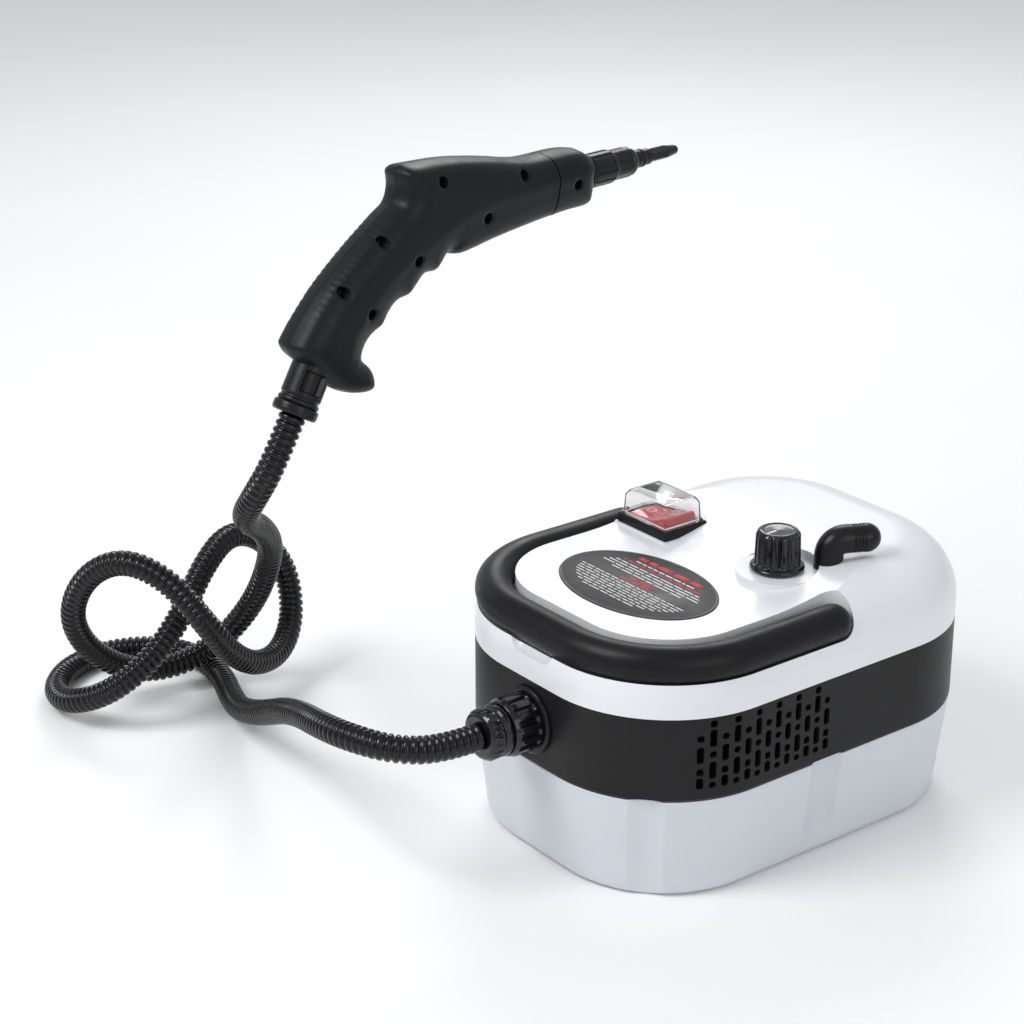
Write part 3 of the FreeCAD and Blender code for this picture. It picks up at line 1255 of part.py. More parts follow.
def make_board():
    """Control board with its larger components."""
    board = box("board_sheet", "board_length", "board_thick", "board_height", "board_x", "board_y",
                "board_z")
    parts = [
        box("relay", "relay_length", "relay_depth", "relay_height", "relay_x",
            "board_y - relay_depth", "relay_z"),
        box("terminal_strip", "strip_length", "strip_depth", "strip_height", "strip_x",
            "board_y - strip_depth", "strip_z"),
        cylinder("capacitor", "capacitor_radius", "capacitor_length", "capacitor_x", "board_y",
                 "capacitor_z", ALONG_MINUS_Y),
    ]
    keep(fuse("control_board", [board] + parts))


# ---------------------------------------------------------------- build and export

def check_objects():
    """Stops if any object failed or any piece is null or invalid."""
    for item in doc.Objects:
        if "Invalid" in item.State or "Error" in item.State:
            raise RuntimeError(f"{item.Name} failed: {item.State}")
    for name, item in nodes.items():
        if item.Shape.isNull() or not item.Shape.isValid() or not item.Shape.Solids:
            raise RuntimeError(f"{name} has no valid solid")


def main():
    fill_sheet()
    make_tank()
    make_chassis()
    make_band()
    make_cover()
    make_handle()
    make_knob()
    make_switch()
    make_gland()
    make_coupling()
    make_hose()
    make_gun_shells()
    make_nozzle()
    make_cuff()
    make_boiler()
    make_pump()
    make_pipes()
    make_board()
    doc.recompute()
    check_objects()
    os.makedirs("parts", exist_ok=True)
    for name, item in nodes.items():
        item.Shape.exportStep(f"parts/{name}.step")
    print(len(nodes), "pieces written")


main()
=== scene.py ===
"""Looks of the steam cleaner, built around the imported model."""

import json
import math

import bpy
import numpy as np
from mathutils import Matrix, Vector, geometry


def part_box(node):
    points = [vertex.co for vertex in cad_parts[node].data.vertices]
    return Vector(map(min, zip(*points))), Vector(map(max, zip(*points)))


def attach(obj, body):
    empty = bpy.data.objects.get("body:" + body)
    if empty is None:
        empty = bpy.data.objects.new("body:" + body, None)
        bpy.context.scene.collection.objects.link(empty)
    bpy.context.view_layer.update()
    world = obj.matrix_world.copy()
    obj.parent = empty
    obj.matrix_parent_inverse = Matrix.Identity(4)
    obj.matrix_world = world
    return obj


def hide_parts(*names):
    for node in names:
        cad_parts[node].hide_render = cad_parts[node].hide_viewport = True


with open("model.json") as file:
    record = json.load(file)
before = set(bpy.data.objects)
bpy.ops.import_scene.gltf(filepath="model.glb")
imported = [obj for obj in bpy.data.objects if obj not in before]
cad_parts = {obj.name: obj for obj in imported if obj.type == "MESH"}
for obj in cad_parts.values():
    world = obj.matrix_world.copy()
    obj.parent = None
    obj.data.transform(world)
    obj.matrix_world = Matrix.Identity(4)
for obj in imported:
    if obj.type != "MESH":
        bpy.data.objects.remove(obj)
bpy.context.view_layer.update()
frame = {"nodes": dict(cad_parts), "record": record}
nodes = frame["nodes"]
MM = 0.001
UP = Vector((0, 0, 1))

# ---------------------------------------------------------------- camera

CAMERA_PLACE = (-0.9046, -0.9732, 0.7173)  # metres
AZIMUTH, DIP = math.radians(37.7), math.radians(22.1)
LENS, SENSOR = 86.9, 36

camera = bpy.data.objects.new("camera", bpy.data.cameras.new("camera"))
bpy.context.scene.collection.objects.link(camera)
camera.location = CAMERA_PLACE
camera.rotation_mode = "QUATERNION"
camera.rotation_quaternion = Vector((
    math.sin(AZIMUTH) * math.cos(DIP), math.cos(AZIMUTH) * math.cos(DIP), -math.sin(DIP),
)).to_track_quat("-Z", "Y")
camera.data.lens = LENS
camera.data.sensor_width = SENSOR
camera.data.clip_start = 0.05
camera.data.clip_end = 20
bpy.context.scene.camera = camera

# ---------------------------------------------------------------- steam hose

# The route of the steam hose, in millimetres, as its CAD solid has it.
HOSE_ROUTE = [
    (-176, 0, 90), (-202, 0, 90), (-227, 10, 94), (-239, 38, 95), (-235, 71, 88),
    (-222, 108, 75), (-213, 140, 62), (-203, 172, 45), (-196, 203, 30), (-187, 235, 17),
    (-175, 266, 10), (-162, 297, 8.4), (-157, 331, 8.4), (-170, 362, 8.4),
    (-200, 378, 8.4), (-235, 372, 8.4), (-259, 348, 8.4), (-266, 314, 14),
    (-253, 284, 28), (-228, 270, 50), (-202, 274, 74), (-180, 284, 97), (-152, 298, 108),
    (-124, 304, 96), (-108, 300, 70), (-112, 288, 42), (-132, 272, 27), (-162, 254, 33),
    (-188, 242, 53), (-208, 237, 82), (-224, 250, 110), (-241, 274, 121),
    (-255, 298, 106), (-260, 315, 76), (-248, 323, 46), (-222, 322, 22), (-190, 316, 15),
    (-160, 303, 30), (-143, 288, 58), (-141, 270, 89), (-150, 250, 117), (-174, 222, 142),
    (-196, 200, 158), (-212, 178, 174), (-218, 156, 193), (-212.4, 143, 215.8),
    (-197.1, 144.9, 241.5),
]
HOSE_RADIUS = 8.0
HOSE_PITCH = 4.3
HOSE_SIDES = 26
# How far the skin lies below the ribs' crest at each step of one pitch.
HOSE_WAVE = (1.55, 0.95, 0.25, 0.03, 0, 0.03, 0.25, 0.95)
CURVE_STEPS = 24


def spline_path(name, route):
    """Points along the smooth spline that has the route as its control points."""
    curve = bpy.data.curves.new(name, "CURVE")
    curve.dimensions = "3D"
    curve.resolution_u = CURVE_STEPS
    spline = curve.splines.new("NURBS")
    spline.points.add(len(route) - 1)
    for point, place in zip(spline.points, route):
        point.co = (*[value * MM for value in place], 1)
    spline.order_u = 3
    spline.use_endpoint_u = True
    holder = bpy.data.objects.new(name, curve)
    bpy.context.scene.collection.objects.link(holder)
    line = bpy.data.meshes.new_from_object(holder)
    points = np.array([vertex.co for vertex in line.vertices]) / MM
    bpy.data.objects.remove(holder)
    bpy.data.meshes.remove(line)
    return points


def running_length(points):
    """Distance from the start of a line to each of its points."""
    gaps = np.linalg.norm(np.diff(points, axis=0), axis=1)
    return np.concatenate([[0], np.cumsum(gaps)])


def points_at(at, run, points):
    """The points of a line at the given distances along it."""
    return np.stack([np.interp(at, run, points[:, axis]) for axis in range(3)], axis=1)


def even_steps(points, pitch, per_pitch):
    """The same line with points at even distances, a whole number of them to each pitch."""
    run = running_length(points)
    count = int(round(run[-1] / pitch)) * per_pitch
    at = np.linspace(0, run[-1], count + 1)
    return points_at(at, run, points), run[-1]


# ---------------------------------------------------------------- mesh helpers

def mesh_piece(name, verts, faces, body, material, slot, replaces=(), sharp=35):
    """Makes a smooth-shaded piece from millimetre points and puts it on its body."""
    mesh = bpy.data.meshes.new(name)
    mesh.from_pydata([tuple(float(v) * MM for v in vert) for vert in verts], [], faces)
    mesh.validate()
    mesh.update()
    mesh.shade_smooth()
    if sharp is not None:
        mesh.set_sharp_from_angle(angle=math.radians(sharp))
    piece = bpy.data.objects.new(name, mesh)
    bpy.context.scene.collection.objects.link(piece)
    mesh.materials.append(material)
    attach(piece, body)
    if replaces:
        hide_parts(*replaces)
    return piece


def merge(parts):
    """Joins several (points, faces) pairs into one."""
    verts, faces = [], []
    for part_verts, part_faces in parts:
        start = len(verts)
        verts.extend([tuple(v) for v in part_verts])
        faces.extend([tuple(index + start for index in face) for face in part_faces])
    return verts, faces


def skin(rings, caps=(True, True), loop=False):
    """Faces between rings of equal point count; ends are closed with one face each."""
    count = len(rings[0])
    verts = [tuple(point) for ring in rings for point in ring]
    faces = []
    total = len(rings)
    for row in range(total if loop else total - 1):
        low, high = row * count, ((row + 1) % total) * count
        for k in range(count):
            n = (k + 1) % count
            faces.append((low + k, low + n, high + n, high + k))
    if caps[0] and not loop:
        faces.append(tuple(reversed(range(count))))
    if caps[1] and not loop:
        faces.append(tuple((total - 1) * count + k for k in range(count)))
    return verts, faces


def frame_of(axis):
    """Two directions square to an axis."""
    axis = Vector(axis).normalized()
    side = axis.cross(UP)
    if side.length < 0.01:
        side = Vector((1, 0, 0))
    side.normalize()
    return side, side.cross(axis).normalized() * -1


def turned(profile, origin, axis, count=64, radius_at=None, caps=(True, True)):
    """A turned piece: profile is (distance along, radius); radius_at may change it by angle."""
    origin, axis = Vector(origin), Vector(axis).normalized()
    side, rise = frame_of(axis)
    rings = []
    for along, radius in profile:
        ring = []
        for k in range(count):
            angle = 2 * math.pi * k / count
            reach = radius if radius_at is None else radius_at(along, radius, angle)
            ring.append(origin + axis * along
                        + (side * math.cos(angle) + rise * math.sin(angle)) * reach)
        rings.append(ring)
    return skin(rings, caps)


def rounded(points, radius, steps=4):
    """Rounds the inner corners of an open profile of (along, radius) points."""
    result = [points[0]]
    for before, here, after in zip(points, points[1:], points[2:]):
        a, b, c = Vector(before), Vector(here), Vector(after)
        reach = min(radius, (a - b).length * 0.45, (c - b).length * 0.45)
        start = b + (a - b).normalized() * reach
        end = b + (c - b).normalized() * reach
        for k in range(steps + 1):
            t = k / steps
            result.append(tuple(start * (1 - t) ** 2 + b * 2 * t * (1 - t) + end * t ** 2))
    result.append(points[-1])
    return result


def along_path(points, radius_of, sides):
    """A round tube along points, with parallel-carried rings."""
    tangents = np.gradient(points, axis=0)
    tangents /= np.linalg.norm(tangents, axis=1)[:, None]
    normal = np.cross(tangents[0], (0, 0, 1) if abs(tangents[0][2]) < 0.9 else (1, 0, 0))
    normal /= np.linalg.norm(normal)
    rings = []
    angles = np.linspace(0, 2 * np.pi, sides, endpoint=False)
    for index, (point, tangent) in enumerate(zip(points, tangents)):
        normal = normal - tangent * np.dot(normal, tangent)
        normal /= np.linalg.norm(normal)
        other = np.cross(tangent, normal)
        radius = radius_of(index)
        rings.append(point + radius * (np.cos(angles)[:, None] * normal
                                       + np.sin(angles)[:, None] * other))
    return rings


# ---------------------------------------------------------------- materials

def node_tree(name):
    """A new node material, with its shader and object coordinates."""
    material = bpy.data.materials.new(name)
    material.use_nodes = True
    tree = material.node_tree
    shader = tree.nodes["Principled BSDF"]
    place = tree.nodes.new("ShaderNodeTexCoord")
    return material, tree, shader, place.outputs["Object"]


def noise(tree, place, scale, detail=4.0, stretch=None):
    """Cloudy noise, drawn out along an axis where stretch is given."""
    if stretch is not None:
        mapping = tree.nodes.new("ShaderNodeMapping")
        mapping.inputs["Scale"].default_value = stretch
        tree.links.new(place, mapping.inputs["Vector"])
        place = mapping.outputs["Vector"]
    texture = tree.nodes.new("ShaderNodeTexNoise")
    texture.inputs["Scale"].default_value = scale
    texture.inputs["Detail"].default_value = detail
    tree.links.new(place, texture.inputs["Vector"])
    return texture.outputs["Fac"]


def ramp(tree, source, low, high, low_at=0.3, high_at=0.7):
    """Maps a factor to a range of greys or colours."""
    node = tree.nodes.new("ShaderNodeValToRGB")
    first, last = node.color_ramp.elements
    first.position, last.position = low_at, high_at
    first.color = (*low, 1) if hasattr(low, "__len__") else (low, low, low, 1)
    last.color = (*high, 1) if hasattr(high, "__len__") else (high, high, high, 1)
    tree.links.new(source, node.inputs["Fac"])
    return node.outputs["Color"]


def bump(tree, height, strength, distance):
    """A bump of the given strength and height in metres."""
    node = tree.nodes.new("ShaderNodeBump")
    node.inputs["Strength"].default_value = strength
    node.inputs["Distance"].default_value = distance
    tree.links.new(height, node.inputs["Height"])
    return node


CLOUD_SCALE, SCUFF_SCALE, WAVE_SCALE = 14.0, 60.0, 22.0
GRAIN_HEIGHT, WAVE_HEIGHT, CLEAR_HEIGHT = 0.0004, 0.002, 0.001  # metres
COAT_ROUGHNESS = 0.08
CLEAR_IOR = 1.45


def plastic(name, colour, rough, vary=0.06, grain=0.12, size=900.0, coat=0.0, scuff=0.08,
            metal=0.0, waves=0.0, shine=0.5):
    """Moulded plastic or metal: cloudy colour, fine grain, faint scuffs in its gloss."""
    material, tree, shader, place = node_tree(name)
    cloud = noise(tree, place, CLOUD_SCALE)
    low = [value * (1 - vary) for value in colour]
    high = [min(1, value * (1 + vary)) for value in colour]
    tree.links.new(ramp(tree, cloud, low, high), shader.inputs["Base Color"])
    streak = noise(tree, place, SCUFF_SCALE, 6.0, (1, 1, 7))
    tree.links.new(ramp(tree, streak, max(0, rough - scuff / 2), min(1, rough + scuff)),
                   shader.inputs["Roughness"])
    shader.inputs["Metallic"].default_value = metal
    shader.inputs["Specular IOR Level"].default_value = shine
    shader.inputs["Coat Weight"].default_value = coat
    shader.inputs["Coat Roughness"].default_value = COAT_ROUGHNESS
    relief = bump(tree, noise(tree, place, size, 2.0), grain, GRAIN_HEIGHT)
    if waves:
        swell = bump(tree, noise(tree, place, WAVE_SCALE, 1.0), waves, WAVE_HEIGHT)
        tree.links.new(swell.outputs["Normal"], relief.inputs["Normal"])
    tree.links.new(relief.outputs["Normal"], shader.inputs["Normal"])
    return material


WHITE = plastic("white_abs", (0.74, 0.75, 0.78), 0.30, 0.012, 0.05, 1400, coat=0.12, waves=0.02,
                scuff=0.03)
BLACK = plastic("black_housing", (0.010, 0.010, 0.011), 0.40, 0.15, 0.16, 1500, scuff=0.05,
                shine=0.2)
HANDLE = plastic("handle_black", (0.006, 0.006, 0.007), 0.36, 0.15, 0.2, 1300, shine=0.2)
GLOSS = plastic("knob_black", (0.004, 0.004, 0.005), 0.13, 0.2, 0.03, 700, coat=0.3, shine=0.35)
SATIN = plastic("switch_black", (0.007, 0.007, 0.008), 0.27, 0.15, 0.08, 1200, shine=0.24)
GUN = plastic("gun_black", (0.007, 0.008, 0.009), 0.36, 0.14, 0.3, 1100, waves=0.03, shine=0.17)
HOSE = plastic("hose_black", (0.004, 0.004, 0.005), 0.13, 0.2, 0.05, 900, coat=0.2, shine=0.24,
               scuff=0.12)
RUBBER = plastic("seal_rubber", (0.03, 0.03, 0.032), 0.7, 0.2, 0.3, 800)
BRASS = plastic("brass", (0.72, 0.50, 0.20), 0.28, 0.1, 0.08, 500, metal=1.0)
STEEL = plastic("steel", (0.58, 0.58, 0.60), 0.26, 0.06, 0.06, 600, metal=1.0, scuff=0.14)
SCREW = plastic("screw_blackened", (0.05, 0.05, 0.055), 0.35, 0.1, 0.1, 500, metal=1.0)
ALUMINIUM = plastic("aluminium", (0.74, 0.75, 0.77), 0.42, 0.05, 0.25, 450, metal=1.0)
BOARD = plastic("board_green", (0.03, 0.16, 0.07), 0.4, 0.2, 0.1, 300)


def clear_material(name, colour, rough, transmission, haze=0.0):
    """Clear or milky plastic, slightly uneven."""
    material, tree, shader, place = node_tree(name)
    cloud = noise(tree, place, 18.0)
    tree.links.new(ramp(tree, cloud, [c * 0.97 for c in colour], colour),
                   shader.inputs["Base Color"])
    tree.links.new(ramp(tree, noise(tree, place, 40.0), rough, rough + 0.06 + haze),
                   shader.inputs["Roughness"])
    shader.inputs["Transmission Weight"].default_value = transmission
    shader.inputs["IOR"].default_value = CLEAR_IOR
    relief = bump(tree, noise(tree, place, 30.0, 2.0), 0.06, CLEAR_HEIGHT)
    tree.links.new(relief.outputs["Normal"], shader.inputs["Normal"])
    return material


CLEAR = clear_material("clear_boot", (0.96, 0.97, 0.98), 0.03, 1.0)
TUBE = clear_material("clear_tube", (0.85, 0.88, 0.9), 0.12, 0.7)
TANK = clear_material("tank_milky", (0.70, 0.73, 0.78), 0.34, 0.12, haze=0.08)
milk = TANK.node_tree.nodes["Principled BSDF"].inputs
milk["Subsurface Weight"].default_value = 0.35
milk["Subsurface Radius"].default_value = (0.012, 0.013, 0.016)

RED = plastic("rocker_red", (0.80, 0.022, 0.030), 0.14, 0.06, 0.02, 600, coat=0.6)
PRINT = plastic("print_white", (0.80, 0.80, 0.80), 0.4, 0.03, 0.02, 600)
PRINT_RED = plastic("print_red", (0.55, 0.03, 0.04), 0.4, 0.05, 0.02, 600)
LABEL = plastic("label_print", (0.018, 0.017, 0.019), 0.42, 0.1, 0.06, 1500, shine=0.35)

NODE_LOOKS = {
    "white_shell": WHITE, "black_housing": BLACK, "handle_black": HANDLE, "label_print": LABEL,
    "knob_black": GLOSS, "switch_black": SATIN, "rocker_red": RED, "clear_boot": CLEAR,
    "hose_black": HOSE, "gun_black": GUN, "brass": BRASS, "steel": STEEL,
    "aluminium": ALUMINIUM, "seal_rubber": RUBBER, "board_green": BOARD, "clear_tube": TUBE,
}
for part in frame["record"]["subparts"]:
    for material_slot in nodes[part["node"]].material_slots:
        material_slot.material = NODE_LOOKS[part["material_slot"]]


# ---------------------------------------------------------------- hose and coupling

def build_hose():
    """Ribbed skin along the route, with its middle line and length."""
    line, length = even_steps(spline_path("hose_line", HOSE_ROUTE), HOSE_PITCH, len(HOSE_WAVE))

    def radius_of(index):
        return HOSE_RADIUS - HOSE_WAVE[index % len(HOSE_WAVE)]

    rings = along_path(line, radius_of, HOSE_SIDES)
    skinned = mesh_piece("steam_hose_skin", *skin(rings), "unit", HOSE, "hose_black",
                         ["steam_hose"], sharp=None)
    return skinned, line, length


hose, hose_line, hose_length = build_hose()


GROOVE_FADE = 0.8


def ribs(count, depth, duty=0.5, soft=0.25):
    """Radius change for lengthwise grooves: 0 on the rib, -depth in the groove."""
    def change(angle):
        phase = (angle / (2 * math.pi) * count) % 1.0
        edge = abs(phase - 0.5) * 2
        level = min(1.0, max(0.0, (edge - duty) / soft))
        return -depth * level
    return change


def grooved(profile, origin, axis, count, sides, depth, low, high, duty=0.5, soft=0.25):
    """A turned piece with lengthwise grooves between two distances along it."""
    wave = ribs(count, depth, duty, soft)

    def radius_at(along, radius, angle):
        if low < along < high:
            fade = min(1, (along - low) / GROOVE_FADE, (high - along) / GROOVE_FADE)
            return radius + wave(angle) * fade
        return radius
    return turned(profile, origin, axis, sides, radius_at)


def spaced(profile, step):
    """Adds points so that no step along the profile is longer than the given one."""
    result = [profile[0]]
    for before, after in zip(profile, profile[1:]):
        gap = math.hypot(after[0] - before[0], after[1] - before[1])
        parts = max(1, math.ceil(gap / step))
        for k in range(1, parts + 1):
            t = k / parts
            result.append((before[0] + (after[0] - before[0]) * t,
                           before[1] + (after[1] - before[1]) * t))
    return result


OUTLET_LEVEL = 90
FLANGE_X, NUT_X, COLLAR_X = -140, -143, -161


def build_coupling():
    """Flange on the band, ribbed coupling nut and the hose's own collar."""
    along = (-1, 0, 0)
    flange = spaced(rounded([(0, 6.5), (0, 20), (2.2, 20), (3, 18.6), (3, 13)], 0.7), 1.0)
    inner = rounded([(3, 13), (8, 12.6), (8, 6.5)], 0.5)
    verts, faces = turned(flange + inner[1:], (FLANGE_X, 0, OUTLET_LEVEL), along, 96)
    mesh_piece("outlet_flange_shape", verts, faces, "unit", SATIN, "knob_black",
               ["outlet_flange"])
    nut = rounded([(0, 9), (0, 15.6), (1.4, 17), (14.6, 17), (16.4, 16.2), (18, 15.8),
                   (18, 9)], 0.9)
    verts, faces = grooved(spaced(nut, 0.8), (NUT_X, 0, OUTLET_LEVEL), along, 14, 196, 1.7,
                           1.2, 15.5, duty=0.52, soft=0.12)
    mesh_piece("coupling_nut_shape", verts, faces, "unit", GLOSS, "knob_black", ["coupling_nut"])
    collar = rounded([(0, 8), (0, 14.2), (1.5, 15), (4.0, 15), (4.8, 13.9), (6.0, 13.9),
                      (6.8, 15), (12, 15), (14.4, 13.2), (15, 11.5), (15, 7.2)], 0.6)
    verts, faces = grooved(spaced(collar, 0.7), (COLLAR_X, 0, OUTLET_LEVEL), along, 20, 200,
                           0.9, 7.2, 12.8, duty=0.5, soft=0.2)
    return mesh_piece("coupling_collar_shape", verts, faces, "unit", GLOSS, "knob_black",
                      ["coupling_collar"])


coupling_collar = build_coupling()

# ---------------------------------------------------------------- gun

GUN_ORIGIN = Vector((-177.4, 147.3, 274.5))
GUN_YAW = math.radians(7)
GUN_FORE = Vector((math.cos(GUN_YAW), math.sin(GUN_YAW), 0))
GUN_FAR = Vector((-math.sin(GUN_YAW), math.cos(GUN_YAW), 0))
BUTT = math.radians(-31)
BUTT_AXIS = (GUN_FORE * math.sin(BUTT) + UP * -math.cos(BUTT)).normalized()
NOZZLE_LEVEL = 65.4
WINDOW_TURN = math.radians(200)
# Marks on the cuff: distances along it, angle from the window's middle, half angle, lift.
CUFF_MARKS = [(12, 24.5, 0, 0.55, -2.8), (10, 26, -1.05, 0.16, -0.5), (8, 27, -0.78, 0.09, 0.4)]


def gun_point(fore, far, rise):
    """A place along the gun, to its far side, and up."""
    return GUN_ORIGIN + GUN_FORE * fore + GUN_FAR * far + UP * rise


def build_cuff():
    """Swivel cuff with its window and the end collar on the hose."""
    profile = spaced(rounded([(-13, 5), (-13, 5.9), (-0.5, 5.9), (0, 10.6), (6, 11.0), (7, 11.8),
                              (27, 12.0), (27.8, 11.2), (28.8, 11.2), (29.6, 12.3), (31.2, 12.3),
                              (32, 11.6), (32, 7.6)], 0.5), 0.9)

    def window(along, radius, angle):
        turn = (angle - WINDOW_TURN + math.pi) % (2 * math.pi) - math.pi
        for low, high, middle, half, lift in CUFF_MARKS:
            if low < along < high and abs(turn - middle) < half:
                return radius + lift
        return radius

    cuff = mesh_piece("hose_cuff_shape", *turned(profile, GUN_ORIGIN, BUTT_AXIS, 120, window),
                      "unit", SATIN, "gun_black", ["hose_cuff"], sharp=25)
    ring = spaced(rounded([(32, 7.9), (32, 12.4), (32.8, 13.3), (36.8, 13.4), (38.2, 12.6),
                           (38.5, 11), (38.5, 7.4)], 0.7), 0.8)
    collar = mesh_piece("cuff_collar_shape", *turned(ring, GUN_ORIGIN, BUTT_AXIS, 72),
                        "unit", SATIN, "gun_black", ["cuff_collar"], sharp=40)
    return cuff, collar


cuff, cuff_collar = build_cuff()

# ---------------------------------------------------------------- gun shells

# The gun's outline in its own plane, from the butt over the top to the front and back.
# Each run of points is one smooth curve; runs meet in corners. RIDGE is the line on its side
# below which the face turns in, and BACK the ribbed back of the grip.
GUN_RUNS = [
    [(-19.6, 1.6), (-23, 8.1)],
    [(-23, 8.1), (-15.6, 17.8), (-7.3, 27.1), (5.6, 39.5), (26.5, 55.5), (47.1, 69.2), (59.3, 76)],
    [(59.3, 76), (61.5, 85), (60.2, 92.7), (64.2, 96.8), (72.6, 96.8)],
    [(72.6, 96.8), (99.9, 95.3), (128.2, 91), (161.4, 84.6), (196.4, 84), (208.7, 81.3),
     (217, 74.2)],
    [(217, 74.2), (215.3, 55.6)],
    [(215.3, 55.6), (211.2, 47.4), (190.6, 46.4), (168.9, 44.9), (135.4, 41.6),
     (102.7, 37.3), (93.7, 41.5)],
    [(93.7, 41.5), (84.2, 31.4), (74.6, 31.6), (69, 26.8), (62.6, 20.9)],
    [(62.6, 20.9), (53.3, 20), (47, 15.4), (41.2, 7)],
    [(41.2, 7), (33.6, 4.5), (28.1, -0.2), (24.7, -7.2)],
    [(24.7, -7.2), (32, -14), (35.6, -22.4), (33, -29.7), (19.3, -28.7), (8.2, -23.7)],
    [(8.2, -23.7), (-19.6, 1.6)],
]
GUN_HALF = 18.0
CROWN_REACH, CROWN_START, CROWN_POWER = 17.0, 2.2, 2.1
HOLE_DEPTH = 9.0
GUN_SEAM, SEAM_GAP = 178.0, 0.7
HOLES = [(26.7, 19.9), (63.2, 43.5), (119.3, 58), (9.5, 35.5), (40, 58.5), (84, 86), (150, 78)]
FRONT_HOLES = [(194.3, 64.7)]
RIDGE = [(12, 8), (24, 21.5), (39, 34), (54, 44), (77, 53), (100, 62), (124, 67), (160, 68),
         (170, 70)]
BACK = [(-10, 25), (5.6, 39.5), (26.5, 55.5), (42, 66)]
BACK_WAY, BACK_REACH = (0.79, 0.61), 9
RIB_PITCH, RIB_DEPTH = 4.4, 0.7
RIM_DEPTH = 1.2
ROW_DEPTHS, GRID_DEPTH = (0.25, 0.8, 1.7, 3.0, 4.6, 6.6), 8.0
GRID_FORE, GRID_RISE = (-30, 222), (-34, 100)
HOLE_RINGS, HOLE_SIDES, HOLE_MARGIN = (4.3, 3.75, 3.4, 3.3), 28, 5.0
RIM_RADIUS, WELL_RADIUS, RIM_DROP = 4.0, 3.35, 0.35


def smooth_run(points, step=1.4):
    """A centripetal curve through the points, sampled evenly."""
    if len(points) == 2:
        ends = [np.array(p, float) for p in points]
        count = max(1, int(np.linalg.norm(ends[1] - ends[0]) / step))
        return [tuple(ends[0] + (ends[1] - ends[0]) * k / count) for k in range(count)]
    p = [np.array(q, float) for q in points]
    p = [2 * p[0] - p[1]] + p + [2 * p[-1] - p[-2]]
    result = []
    for a, b, c, d in zip(p, p[1:], p[2:], p[3:]):
        count = max(2, int(np.linalg.norm(c - b) / step))
        for k in range(count):
            t = k / count
            result.append(tuple(0.5 * (2 * b + (c - a) * t + (2 * a - 5 * b + 4 * c - d) * t * t
                                       + (3 * b - 3 * c + d - a) * t ** 3)))
    return result


def soften(points, passes):
    """Rounds a closed outline slightly."""
    p = np.array(points, float)
    for _ in range(passes):
        p = 0.5 * p + 0.25 * (np.roll(p, 1, axis=0) + np.roll(p, -1, axis=0))
    return [tuple(q) for q in p]


gun_outline = soften([point for run in GUN_RUNS for point in smooth_run(run)], 4)


def distance_to(points, line, closed):
    """Distance of every point to a line of segments."""
    a = np.array(line, float)
    b = np.roll(a, -1, axis=0) if closed else a[1:]
    a = a if closed else a[:-1]
    p = np.array(points, float)[:, None, :]
    run = (b - a)[None]
    t = np.clip(((p - a) * run).sum(2) / np.maximum((run ** 2).sum(2), 1e-9), 0, 1)
    near = a + run * t[..., None]
    return np.sqrt(((p - near) ** 2).sum(2)).min(1)


def inside(points, line):
    """True for points within a closed outline."""
    p = np.array(points, float)
    a = np.array(line, float)
    b = np.roll(a, -1, axis=0)
    x, y = p[:, 0][:, None], p[:, 1][:, None]
    crosses = ((a[:, 1] > y) != (b[:, 1] > y)) & (
        x < (b[:, 0] - a[:, 0]) * (y - a[:, 1]) / (b[:, 1] - a[:, 1] + 1e-12) + a[:, 0])
    return crosses.sum(1) % 2 == 1


def clipped(line, at, keep_below, step=1.6):
    """The part of a closed outline on one side of a line across the gun, evenly filled."""
    result = []
    for here, after in zip(line, line[1:] + line[:1]):
        inside_here = (here[0] < at) == keep_below
        inside_after = (after[0] < at) == keep_below
        if inside_here:
            result.append(here)
        if inside_here != inside_after:
            t = (at - here[0]) / (after[0] - here[0])
            result.append((at, here[1] + (after[1] - here[1]) * t))
    filled = []
    for here, after in zip(result, result[1:] + result[:1]):
        filled.append(here)
        gap = math.hypot(after[0] - here[0], after[1] - here[1])
        parts = int(gap / step)
        for k in range(1, parts):
            t = k / parts
            filled.append((here[0] + (after[0] - here[0]) * t,
                           here[1] + (after[1] - here[1]) * t))
    return filled


def crown(points, depth):
    """Height of the gun's side over its middle plane: rounded, with a facet below the ridge."""
    share = np.clip(depth / CROWN_REACH, 0, 1)
    round_side = (1 - (1 - share) ** CROWN_POWER) ** (1 / CROWN_POWER)
    height = CROWN_START + (GUN_HALF - CROWN_START) * round_side
    rim = np.clip(depth / RIM_DEPTH, 0, 1)
    height *= 0.9 * np.sqrt(rim) + 0.1 * rim
    ridge = np.array(RIDGE)
    below = np.interp(points[:, 0], ridge[:, 0], ridge[:, 1]) - points[:, 1]
    height -= 0.2 * np.clip(below, 0, 16) * share
    height -= 0.04 * np.clip(-below, 0, 25) * share
    back = np.clip(1 - distance_to(points, BACK, False) / BACK_REACH, 0, 1)
    along = points[:, 0] * BACK_WAY[0] + points[:, 1] * BACK_WAY[1]
    wave = 0.5 + 0.5 * np.cos(2 * math.pi * along / RIB_PITCH)
    height -= RIB_DEPTH * np.minimum(1, 2 * back) * wave
    return height


def inset_rows(line):
    """Rows of points that follow a closed outline at growing depths inside it."""
    edge = np.array(line)
    tangent = np.roll(edge, -1, axis=0) - np.roll(edge, 1, axis=0)
    tangent /= np.linalg.norm(tangent, axis=1)[:, None]
    inward = np.stack([tangent[:, 1], -tangent[:, 0]], axis=1)
    rows = []
    for depth in ROW_DEPTHS:
        moved = (edge + inward * depth)[::1 if depth < 4 else 2]
        rows.append(moved[distance_to(moved, line, True) > depth * 0.96])
    return rows


